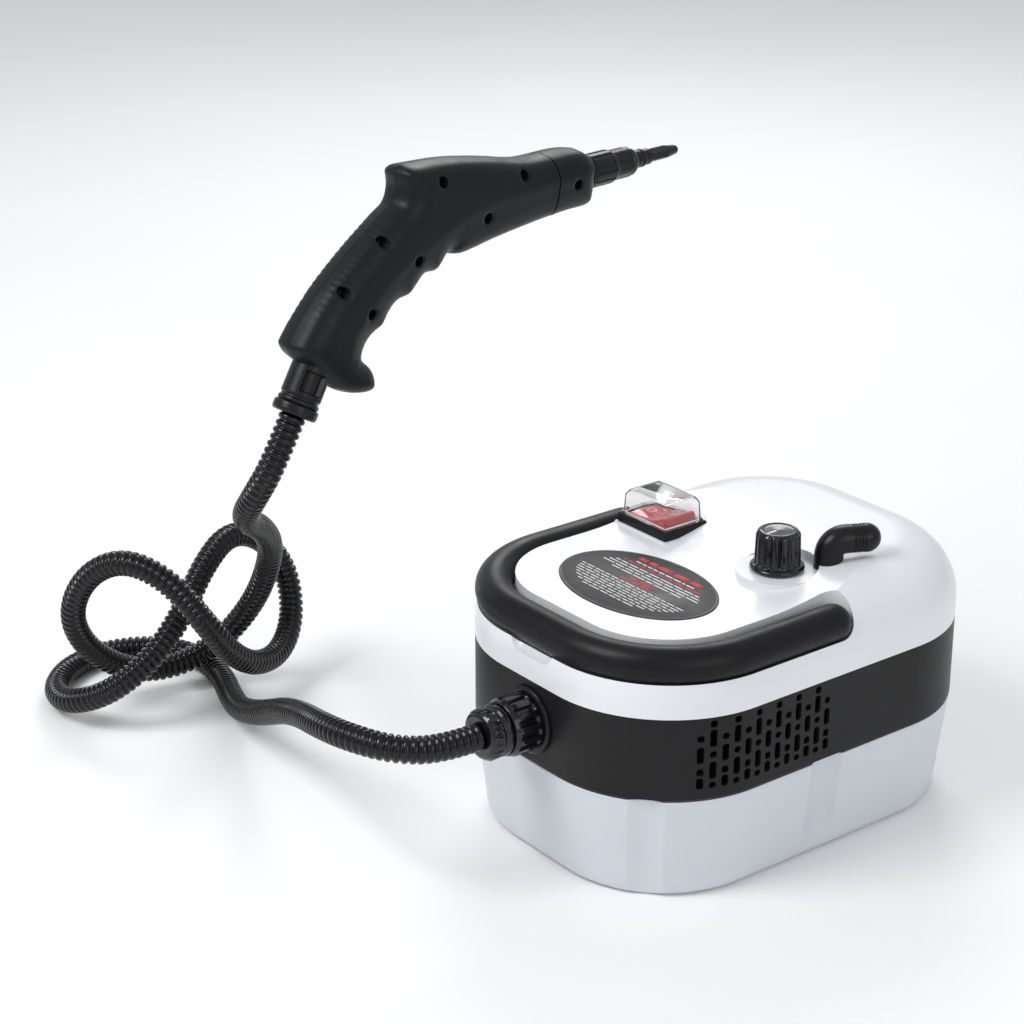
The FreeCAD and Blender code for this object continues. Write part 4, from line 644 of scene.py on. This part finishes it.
def inner_grid(line, step):
    """A triangular grid of points well inside a closed outline."""
    xs = np.arange(*GRID_FORE, step)
    ys = np.arange(*GRID_RISE, step * 0.866)
    grid = np.array([(x + (row % 2) * step / 2, y) for row, y in enumerate(ys) for x in xs])
    grid = grid[inside(grid, line)]
    return grid[distance_to(grid, line, True) > GRID_DEPTH]


def closed_half(flat, faces, height, side):
    """Closes a face of given heights with a flat back and walls along its border."""
    count = len(flat)
    verts = [gun_point(x, side * h, z) for (x, z), h in zip(flat, height)]
    verts += [gun_point(x, side * 0.1, z) for x, z in flat]
    used = {(a, b) for face in faces for a, b in zip(face, face[1:] + face[:1])}
    border = [(a, b) for face in faces for a, b in zip(face, face[1:] + face[:1])
              if (b, a) not in used]
    outer = [face if side < 0 else tuple(reversed(face)) for face in faces]
    back = [tuple(v + count for v in (reversed(face) if side < 0 else face)) for face in faces]
    walls = [(b, a, a + count, b + count) for a, b in border]
    if side > 0:
        walls = [tuple(reversed(wall)) for wall in walls]
    return verts, outer + back + walls


def gun_half_mesh(side, part_line, holes, step):
    """One half of the gun: a crowned face over the outline, closed at the parting plane."""
    points = np.concatenate(inset_rows(gun_outline) + [inner_grid(gun_outline, step)])
    points = points[inside(points, part_line)]
    points = points[distance_to(points, part_line, True) > 0.2]
    for hole in holes:
        away = np.hypot(points[:, 0] - hole[0], points[:, 1] - hole[1])
        points = points[away > HOLE_MARGIN]
    verts = [Vector(p) for p in part_line]
    edges = [(k, (k + 1) % len(part_line)) for k in range(len(part_line))]
    for hole in holes:
        for radius in HOLE_RINGS:
            start = len(verts)
            for k in range(HOLE_SIDES):
                angle = 2 * math.pi * k / HOLE_SIDES
                verts.append(Vector((hole[0] + radius * math.cos(angle),
                                     hole[1] + radius * math.sin(angle))))
                edges.append((start + k, start + (k + 1) % HOLE_SIDES))
    verts += [Vector(p) for p in points]
    flat, _, faces, *_ = geometry.delaunay_2d_cdt(verts, edges, [], 1, 1e-4)
    flat = np.array([tuple(v) for v in flat])
    depth = distance_to(flat, gun_outline, True)
    height = crown(flat, depth)
    if not holes or holes == FRONT_HOLES:
        height += 0.35 * np.clip(depth, 0, 1)
    for hole in holes:
        away = np.hypot(flat[:, 0] - hole[0], flat[:, 1] - hole[1])
        height = np.where(away < RIM_RADIUS, height - RIM_DROP, height)
        height = np.where(away < WELL_RADIUS, height - HOLE_DEPTH, height)
    height = np.clip(height, 0.12, GUN_HALF)
    return closed_half(flat, [tuple(face) for face in faces], height, side)


def build_gun_screws():
    """Plain blackened screw heads at the bottom of the holes."""
    spots = np.array(HOLES + FRONT_HOLES)
    floors = crown(spots, distance_to(spots, gun_outline, True)) - HOLE_DEPTH
    profile = rounded([(-0.6, 0.2), (-0.6, 2.7), (1.1, 2.7), (1.6, 2.1), (1.7, 0.3)], 0.3)
    heads = []
    for (fore, rise), floor in zip(spots, floors):
        heads.append(turned(spaced(profile, 0.6), gun_point(fore, -floor, rise), -GUN_FAR, 28))
    mesh_piece("gun_screw_heads", *merge(heads), "gun", SCREW, "steel", ["gun_screws"], sharp=40)


def build_gun():
    """Both halves of the grip and, past the seam, the front collar."""
    grip_line = clipped(gun_outline, GUN_SEAM - SEAM_GAP / 2, True)
    front_line = clipped(gun_outline, GUN_SEAM + SEAM_GAP / 2, False)
    mesh_piece("gun_shell_near_skin", *gun_half_mesh(-1, grip_line, HOLES, 2.2), "gun", GUN,
               "gun_black", ["gun_shell_near"], sharp=50)
    mesh_piece("gun_shell_far_skin", *gun_half_mesh(1, grip_line, [], 2.6), "gun", GUN,
               "gun_black", ["gun_shell_far"], sharp=50)
    near = gun_half_mesh(-1, front_line, FRONT_HOLES, 2.2)
    far = gun_half_mesh(1, front_line, [], 2.6)
    mesh_piece("gun_front_collar_skin", *merge([near, far]), "gun", GUN, "gun_black",
               ["gun_front_collar"], sharp=50)


build_gun()
build_gun_screws()


def build_nozzle():
    """Stepped nozzle with flats, ring, neck and six-sided tip."""
    origin = gun_point(0, 0, NOZZLE_LEVEL)

    def spline(along, radius, angle):
        if 219 < along < 236:
            return radius - 0.8 * max(0, math.cos(12 * angle)) ** 3
        return radius

    def flats(along, radius, angle):
        if 239.5 < along < 252:
            wedge = (angle + math.pi / 8) % (math.pi / 4) - math.pi / 8
            return min(radius, radius * 0.965 / math.cos(wedge))
        return spline(along, radius, angle)

    base = spaced(rounded([(216, 8), (216, 10.2), (219, 10.7), (236, 10.7), (238, 10.2),
                           (238.2, 9.6), (252.4, 9.6), (253, 9.0), (253, 5)], 0.6), 1.0)
    mesh_piece("nozzle_base_shape", *turned(base, origin, GUN_FORE, 144, flats), "gun", SATIN,
               "gun_black", ["nozzle_base"], sharp=30)
    ring = spaced(rounded([(253, 5), (253, 8.7), (253.8, 9.2), (255.8, 9.2), (256.6, 8.3),
                           (258, 8.0), (258, 5)], 0.4), 0.8)
    mesh_piece("nozzle_ring_shape", *turned(ring, origin, GUN_FORE, 72), "gun", GLOSS,
               "knob_black", ["nozzle_ring"])
    neck = spaced(rounded([(257.5, 4), (257.5, 5.8), (264, 5.8), (264.8, 5.2), (266, 5.2),
                           (266.8, 5.8), (268, 5.8), (268.6, 5.2), (274, 5.2), (274, 3)], 0.4), 0.8)
    mesh_piece("nozzle_neck_shape", *turned(neck, origin, GUN_FORE, 64), "gun", SATIN,
               "gun_black", ["nozzle_neck"])

    def hexagon(along, radius, angle):
        if along < 291:
            wedge = (angle + math.pi / 6) % (math.pi / 3) - math.pi / 6
            flat = 4.5 * math.cos(math.pi / 6) / math.cos(wedge)
            blend = min(1, max(0, (along - 289) / 2))
            return min(radius, flat) * (1 - blend) + min(radius, flat + 0.4) * blend
        return radius

    tip = spaced(rounded([(273.6, 3), (273.6, 4.2), (275, 4.5), (289, 4.5), (291, 4.1),
                          (299.6, 2.9), (300.8, 2.2), (300.8, 1.2), (294, 1.2)], 0.5), 0.9)
    mesh_piece("nozzle_tip_shape", *turned(tip, origin, GUN_FORE, 96, hexagon), "gun", SATIN,
               "gun_black", ["nozzle_tip"], sharp=25)


build_nozzle()

# ---------------------------------------------------------------- outline of the machine

HALF_X, HALF_Y, CORNER = 140.0, 101.5, 76.5


def outline(step=1.2):
    """Points of the machine's plan with their outward directions."""
    centre_x, centre_y = HALF_X - CORNER, HALF_Y - CORNER
    result = []
    corners = [(centre_x, centre_y, 0), (-centre_x, centre_y, 90), (-centre_x, -centre_y, 180),
               (centre_x, -centre_y, 270)]
    arc = int(CORNER * math.pi / 2 / step)
    for (x, y, start), (next_x, next_y, _) in zip(corners, corners[1:] + corners[:1]):
        for k in range(arc):
            angle = math.radians(start + 90 * k / arc)
            way = (math.cos(angle), math.sin(angle))
            result.append((x + CORNER * way[0], y + CORNER * way[1], *way))
        angle = math.radians(start + 90)
        way = (math.cos(angle), math.sin(angle))
        gap = math.hypot(next_x - x, next_y - y)
        count = max(1, int(gap / step))
        for k in range(count):
            t = k / count
            result.append((x + (next_x - x) * t + CORNER * way[0],
                           y + (next_y - y) * t + CORNER * way[1], *way))
    return result


PLAN = outline()
TANK_TOP, TANK_DRAFT, TANK_WALL, TANK_EDGE = 63.5, 7.3, 2.5, 6.0
SLOPE = TANK_DRAFT / 65.0
FLUTE_X, FLUTE_RADIUS, FLUTE_DEPTH, FLUTE_FOOT = -5.5, 16.0, 5.1, 19.7
CORNER_FLUTE_RADIUS, CORNER_FLUTE_DEPTH, CORNER_FLUTE_WAY = 25.0, 2.7, 137.5


def flute_circles(level):
    """Centre and radius of the four flutes' circles at one height."""
    circles = []
    for side in (-1, 1):
        start = HALF_Y + FLUTE_RADIUS - FLUTE_DEPTH - TANK_DRAFT
        reach, radius = start + SLOPE * level, FLUTE_RADIUS
        if level < FLUTE_FOOT:
            reach = start + SLOPE * FLUTE_FOOT
            radius = math.sqrt(max(0.0, FLUTE_RADIUS ** 2 - (FLUTE_FOOT - level) ** 2))
        circles.append((FLUTE_X, side * reach, radius))
        reach = CORNER - TANK_DRAFT + CORNER_FLUTE_RADIUS - CORNER_FLUTE_DEPTH + SLOPE * level
        heading = math.radians(side * CORNER_FLUTE_WAY)
        circles.append((CORNER - HALF_X + reach * math.cos(heading),
                        side * (HALF_Y - CORNER) + reach * math.sin(heading),
                        CORNER_FLUTE_RADIUS))
    return circles


def fluted_ring(inset, level, extra=0.0):
    """The plan drawn in at one height, pushed in by the flutes; extra is a wall's thickness."""
    circles = flute_circles(level)
    ring = []
    for x, y, nx, ny in PLAN:
        px, py = x - nx * inset, y - ny * inset
        for cx, cy, radius in circles:
            dx, dy = px - cx, py - cy
            reach = radius + extra
            if radius > 0 and dx * dx + dy * dy < reach * reach:
                along = dx * nx + dy * ny
                push = along + math.sqrt(along * along - dx * dx - dy * dy + reach * reach)
                px, py = px - nx * push, py - ny * push
        ring.append((px, py, level))
    return ring


def build_tank():
    """Open tank: drafted wall with flutes, rolled bottom edge, floor and a rim bead."""
    outer = []
    for k in range(7):
        angle = math.pi / 2 * k / 6
        level = TANK_EDGE * (1 - math.cos(angle))
        inset = TANK_DRAFT - SLOPE * level + TANK_EDGE * (1 - math.sin(angle))
        outer.append(fluted_ring(inset, level))
    levels = [8 + 2.0 * k for k in range(27)] + [61.4]
    for level in levels:
        outer.append(fluted_ring(TANK_DRAFT - SLOPE * level, level))
    rim = [fluted_ring(TANK_DRAFT - SLOPE * 61.6 - 0.12, 61.7),
           fluted_ring(TANK_DRAFT - SLOPE * 63 - 0.12, 63.0), fluted_ring(0.45, TANK_TOP)]
    inner = [fluted_ring(TANK_DRAFT - SLOPE * level + TANK_WALL, level, TANK_WALL)
             for level in (63.5, 60, 54, 46, 38, 30, 24, 18, 12, 8, 5)]
    inner.append(fluted_ring(TANK_DRAFT + 5.2, 2.9, TANK_WALL))
    inner.append(fluted_ring(TANK_DRAFT + 8.5, 2.5, TANK_WALL))
    mesh_piece("tank_shell", *skin(outer + rim + inner), "tank_base", TANK, "white_shell",
               ["tank"], sharp=28)


build_tank()

# ---------------------------------------------------------------- handle

HANDLE_RADIUS, HANDLE_LEVEL = 11.0, 141.5
HANDLE_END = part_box("carry_handle")[1].x / MM


def build_handle():
    """U-shaped bar with round ends."""
    radius, level = HANDLE_RADIUS, HANDLE_LEVEL
    reach = CORNER - radius
    points = [(x, radius - HALF_Y, level) for x in np.linspace(HANDLE_END, CORNER - HALF_X, 40)]
    for k in range(1, 60):
        angle = math.radians(-90 - 90 * k / 60)
        points.append((CORNER - HALF_X + reach * math.cos(angle),
                       CORNER - HALF_Y + reach * math.sin(angle), level))
    points += [(radius - HALF_X, y, level) for y in np.linspace(CORNER - HALF_Y, 0, 12)]
    points += [(x, -y, z) for x, y, z in reversed(points[:-1])]
    line = np.array(points, float)
    run = running_length(line)
    total = run[-1]
    dome = [radius * (1 - math.cos(math.pi / 2 * k / 9)) for k in range(10)]
    at = np.array(dome + list(np.linspace(radius, total - radius, 220))[1:-1]
                  + [total - d for d in reversed(dome)])
    at[0], at[-1] = 0.05, total - 0.05

    def radius_of(index):
        near = min(at[index], total - at[index])
        if near < radius:
            return math.sqrt(max(0.0, radius ** 2 - (radius - near) ** 2))
        return radius

    rings = along_path(points_at(at, run, line), radius_of, 48)
    mesh_piece("carry_handle_bar", *skin(rings), "handle", HANDLE, "handle_black",
               ["carry_handle"], sharp=None)


build_handle()

# ---------------------------------------------------------------- controls on the cover

def rounded_rectangle(x, y, half_x, half_y, corner, level, per_corner=7):
    """One ring of a rectangle with round corners."""
    ring = []
    for cx, cy, start in ((1, 1, 0), (-1, 1, 90), (-1, -1, 180), (1, -1, 270)):
        for k in range(per_corner + 1):
            angle = math.radians(start + 90 * k / per_corner)
            ring.append((x + cx * (half_x - corner) + corner * math.cos(angle),
                         y + cy * (half_y - corner) + corner * math.sin(angle), level))
    return ring


def stack(x, y, rows):
    """Rings of round-cornered rectangles from rows of half sizes, corner and level."""
    return [rounded_rectangle(x, y, *row) for row in rows]


KNOB_X, KNOB_Y, KNOB_LOW = 9, -39, 155.9
KNOB_FLUTES, KNOB_FLUTE_DEPTH = 14, 1.5
POINTER_X = 3.2


def build_knob():
    """Fluted steam knob with a rolled flange, a dished top and a pointer line."""
    profile = spaced(rounded([(0, 3.1), (0, 15.0), (0.9, 15.8), (2.2, 15.8), (3.2, 14.8),
                              (3.6, 13.4), (21.5, 12.9), (23.6, 11.4), (24, 9.6), (23.4, 8.6),
                              (23.2, 0.4)], 0.9), 0.9)

    def radius_at(along, radius, angle):
        if 3.2 < along < 23.7 and radius > 9.9:
            fade = min(1, (along - 3.2) / 1.6, (23.7 - along) / 1.5)
            wave = 0.5 - 0.5 * math.cos(KNOB_FLUTES * angle)
            return radius - KNOB_FLUTE_DEPTH * fade * (1 - wave) ** 3
        return radius

    grip = turned(profile, (KNOB_X, KNOB_Y, KNOB_LOW), (0, 0, 1), 16 * KNOB_FLUTES, radius_at)
    mesh_piece("steam_knob_grip", *grip, "knob", GLOSS, "knob_black", ["steam_knob"], sharp=50)
    rings = stack(POINTER_X, KNOB_Y, [(4.2, 0.55, 0.5, KNOB_LOW + 23.1),
                                      (4.2, 0.55, 0.5, KNOB_LOW + 23.5)])
    mesh_piece("knob_pointer", *skin(rings), "knob", PRINT, "knob_black")


build_knob()

SWITCH_X, SWITCH_Y, SWITCH_FLOOR = 3.5, 55.0, 153.2
SWITCH_TOP = SWITCH_FLOOR + 5.8
ROCKER_PIVOT = Vector((SWITCH_X, SWITCH_Y, 156.5))
ROCKER_TURN = Matrix.Rotation(math.radians(-9), 4, "X")
ROCKER_X, ROCKER_Y, ROCKER_STEPS = 11.9, 16.4, 30
MARK_LOW, MARK_HIGH = 0.02, 0.28


def build_bezel():
    """Frame of the switch."""
    rings = stack(SWITCH_X, SWITCH_Y, [
        (16.5, 22.0, 0.9, SWITCH_FLOOR + 0.05), (16.5, 22.0, 0.9, SWITCH_TOP - 1.0),
        (16.2, 21.7, 0.9, SWITCH_TOP - 0.3), (15.7, 21.2, 0.9, SWITCH_TOP),
        (14.0, 19.4, 1.4, SWITCH_TOP), (13.6, 19.0, 1.2, SWITCH_TOP - 0.4),
        (13.5, 18.9, 1.2, SWITCH_FLOOR + 0.05)])
    mesh_piece("switch_bezel_frame", *skin(rings, loop=True), "unit", SATIN,
               "switch_black", ["switch_bezel"], sharp=40)


def on_rocker(px, py, pz):
    """A place on the tilted rocker, from its pivot."""
    return tuple(ROCKER_PIVOT + ROCKER_TURN @ Vector((px, py, pz)))


def rocker_top(py):
    """Height of the rocker's dished face."""
    return 3.2 + 2.3 * (abs(py) / 16.5) ** 1.4


def build_rocker():
    """Rocker with a dished face and the generic off and on marks."""
    rings = []
    half = ROCKER_X
    for k in range(ROCKER_STEPS + 1):
        py = -ROCKER_Y + 2 * ROCKER_Y * k / ROCKER_STEPS
        high = rocker_top(py)
        lowest = -1.0 - 4.0 * max(0, 1 - abs(py) / 14) ** 0.7
        end = min(1.0, (ROCKER_Y - abs(py)) / 0.9)
        high -= 0.9 * (1 - math.sqrt(max(0, 1 - (1 - end) ** 2)))
        section = ((-half, lowest), (-half, high - 0.9), (-half + 0.25, high - 0.3),
                   (-half + 0.9, high), (-half / 3, high + 0.04), (half / 3, high + 0.04),
                   (half - 0.9, high), (half - 0.25, high - 0.3), (half, high - 0.9),
                   (half, lowest))
        rings.append([on_rocker(px, py, pz) for px, pz in section])
    mesh_piece("switch_rocker_cap", *skin(rings), "rocker", RED, "rocker_red",
               ["switch_rocker"], sharp=40)

    ring_mark = []
    for k in range(28):
        angle = 2 * math.pi * k / 28
        row = []
        for reach, lift in ((2.3, MARK_LOW), (2.3, MARK_HIGH), (3.1, MARK_HIGH), (3.1, MARK_LOW)):
            py = 8.6 + reach * math.sin(angle)
            row.append(on_rocker(reach * math.cos(angle), py, rocker_top(py) + lift))
        ring_mark.append(row)
    mesh_piece("rocker_mark_off", *skin(ring_mark, loop=True), "rocker", PRINT, "rocker_red")
    bar = [[on_rocker(px, py, rocker_top(py) + lift) for px, lift in
            ((-0.45, MARK_LOW), (-0.45, MARK_HIGH), (0.45, MARK_HIGH), (0.45, MARK_LOW))]
           for py in (-11.6, -10.4, -8.0, -5.6)]
    mesh_piece("rocker_mark_on", *skin(bar), "rocker", PRINT, "rocker_red")


def build_boot():
    """Clear splash cover with its own wall thickness."""
    top, high = SWITCH_TOP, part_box("switch_boot")[1].z / MM
    shell = stack(SWITCH_X, SWITCH_Y, [
        (15.2, 20.4, 1.8, top + 0.05), (15.2, 20.4, 1.8, top + 1.0), (14.4, 19.5, 1.7, top + 1.6),
        (13.9, 18.9, 1.5, high - 3.4), (13.6, 18.6, 1.5, high - 2.7), (11.9, 16.8, 1.3, high - 0.3),
        (11.4, 16.3, 1.2, high - 0.05)])
    lining = stack(SWITCH_X, SWITCH_Y, [
        (10.8, 15.7, 1.0, high - 1.0), (11.3, 16.2, 1.1, high - 1.3), (12.8, 17.8, 1.2, high - 3.1),
        (13.1, 18.1, 1.2, high - 3.9), (13.4, 18.4, 1.2, top + 1.2), (13.4, 18.4, 1.2, top + 0.05)])
    verts, faces = merge([skin(shell, caps=(False, True)), skin(lining, caps=(True, False))])
    per_ring = len(shell[0])
    last = len(verts) - per_ring
    for k in range(per_ring):
        n = (k + 1) % per_ring
        faces.append((last + k, last + n, n, k))
    mesh_piece("switch_boot_clear", verts, faces, "unit", CLEAR, "clear_boot",
               ["switch_boot"], sharp=30)


build_bezel()
build_rocker()
build_boot()

GLAND_YAW = math.radians(-27)
GLAND_CORNER = np.array((34.0, -55.0, 172.0))
GLAND_RADIUS, GLAND_BEND, BARREL_END = 8.4, 9.0, 22
GLAND_STUB = [(149.0, 10.2), (153.4, 10.2), (154.4, 9.6), (155.2, 8.6), (159.0, 8.4),
              (161.0, 8.4)]  # level, radius


def build_gland():
    """Elbow gland: stub with a collar, a smooth bend, and a ribbed round-ended barrel."""
    fore = np.array((math.cos(GLAND_YAW), math.sin(GLAND_YAW), 0.0))
    rise = np.array((0, 0, GLAND_BEND))
    points = [(*GLAND_CORNER[:2], level) for level, _ in GLAND_STUB]
    radii = [radius for _, radius in GLAND_STUB]
    centre = GLAND_CORNER - rise + fore * GLAND_BEND
    for k in range(13):
        angle = math.pi / 2 * k / 12
        points.append(centre - fore * GLAND_BEND * math.cos(angle) + rise * math.sin(angle))
        radii.append(GLAND_RADIUS)
    for k in range(1, 27):
        points.append(GLAND_CORNER + fore * (GLAND_BEND + 0.5 * k))
        radii.append(GLAND_RADIUS - (0.55 if 6 <= k <= 22 and k % 4 in (0, 1) else 0.0))
    for k in range(1, 10):
        angle = math.pi / 2 * k / 9.3
        points.append(GLAND_CORNER + fore * (BARREL_END + GLAND_RADIUS * math.sin(angle)))
        radii.append(GLAND_RADIUS * math.cos(angle))
    line = np.array([tuple(p) for p in points])
    rings = along_path(line, lambda index: radii[index], 48)
    mesh_piece("cord_gland_elbow", *skin(rings), "unit", SATIN, "switch_black",
               ["cord_gland"], sharp=35)


build_gland()

# ---------------------------------------------------------------- label

LABEL_X, LABEL_HALF_X, LABEL_HALF_Y = -62.0, 37.0, 55.0
LABEL_SEED = 7
LABEL_ROWS = [  # distance from the middle towards the rear, bar height, reach, red, bars
    (25.0, 3.6, 27, True, 5), (20.3, 1.0, 25, False, 9), (17.6, 1.2, 33, True, 10),
    (14.4, 0.9, 36, False, 9), (11.6, 0.9, 39, False, 8), (8.8, 0.9, 41, False, 9),
    (6.0, 0.9, 30, False, 6), (2.2, 2.2, 9, True, 2), (-1.2, 1.3, 14, True, 3),
    (-4.6, 0.8, 44, False, 14), (-7.2, 0.8, 43, False, 13), (-9.8, 0.8, 42, False, 14),
    (-12.4, 0.8, 40, False, 12), (-15.0, 0.8, 37, False, 12), (-17.6, 0.8, 34, False, 10),
    (-20.2, 0.8, 29, False, 9), (-22.8, 0.8, 22, False, 6),
]


def oval(inset, level):
    """One ring of the label's outline."""
    return [(LABEL_X + (LABEL_HALF_X - inset) * math.cos(2 * math.pi * k / 120),
             (LABEL_HALF_Y - inset) * math.sin(2 * math.pi * k / 120), level)
            for k in range(120)]


def build_label():
    """Oval plate with a thin rim, and generic rows of printed bars in place of text."""
    low_corner, high_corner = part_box("label_plate")
    low, high = low_corner.z / MM, high_corner.z / MM
    rings = [oval(0.1, low), oval(0.1, high - 0.25), oval(0.35, high - 0.05),
             oval(1.4, high - 0.05), oval(1.6, high - 0.17), oval(2.2, high - 0.17),
             oval(2.4, high - 0.08)]
    mesh_piece("label_plate_print", *skin(rings), "unit", LABEL, "label_print",
               ["label_plate"], sharp=30)
    chance = np.random.default_rng(LABEL_SEED)
    inks = {True: [], False: []}
    for across, tall, reach, red, bars in LABEL_ROWS:
        shares = 0.5 + chance.random(bars)
        gap = 1.1 if tall < 2 else 1.6
        widths = shares / shares.sum() * (2 * reach - gap * (bars - 1))
        start = -reach
        for width in widths:
            ring = rounded_rectangle(LABEL_X + across, start + width / 2, tall / 2,
                                     width / 2, tall * 0.3, high - 0.09, 3)
            upper = [(px, py, high - 0.01) for px, py, _ in ring]
            inks[red].append(skin([ring, upper]))
            start += width + gap
    mesh_piece("label_rows_white", *merge(inks[False]), "unit", PRINT, "label_print", sharp=None)
    mesh_piece("label_rows_red", *merge(inks[True]), "unit", PRINT_RED, "label_print", sharp=None)


build_label()

# ---------------------------------------------------------------- stage

FLOOR_REACH = 6.0  # metres
SKY, SKY_STRENGTH = (0.96, 0.98, 1.0, 1), 0.62
LIGHTS = [  # name, place, aim, size, power
    ("key", (-1.2, 0.3, 1.4), (-0.1, 0.1, 0.1), 0.7, 16),
    ("fill", (-0.2, -1.8, 1.0), (0, 0, 0.1), 1.2, 7),
    ("back", (1.1, 1.3, 1.4), (0, 0, 0.1), 0.8, 11),
]


def build_stage():
    """Pale flat floor and soft studio light."""
    verts = [(x * FLOOR_REACH, y * FLOOR_REACH, 0) for x, y in ((-1, -1), (1, -1), (1, 1), (-1, 1))]
    mesh = bpy.data.meshes.new("floor")
    mesh.from_pydata(verts, [], [(0, 1, 2, 3)])
    floor = bpy.data.objects.new("floor", mesh)
    bpy.context.scene.collection.objects.link(floor)
    material, tree, shader, place = node_tree("floor_pale")
    tree.links.new(ramp(tree, noise(tree, place, 3.0), 0.90, 0.92), shader.inputs["Base Color"])
    shader.inputs["Roughness"].default_value = 0.7
    mesh.materials.append(material)
    world = bpy.data.worlds.new("studio")
    world.use_nodes = True
    backdrop = world.node_tree.nodes["Background"].inputs
    backdrop["Color"].default_value = SKY
    backdrop["Strength"].default_value = SKY_STRENGTH
    bpy.context.scene.world = world
    bpy.context.scene.view_settings.view_transform = "Standard"
    for name, place, aim, size, power in LIGHTS:
        light = bpy.data.lights.new(name, "AREA")
        light.size = size
        light.energy = power
        lamp = bpy.data.objects.new(name, light)
        lamp.location = place
        lamp.rotation_mode = "QUATERNION"
        lamp.rotation_quaternion = (Vector(aim) - Vector(place)).to_track_quat("-Z", "Y")
        bpy.context.scene.collection.objects.link(lamp)


build_stage()
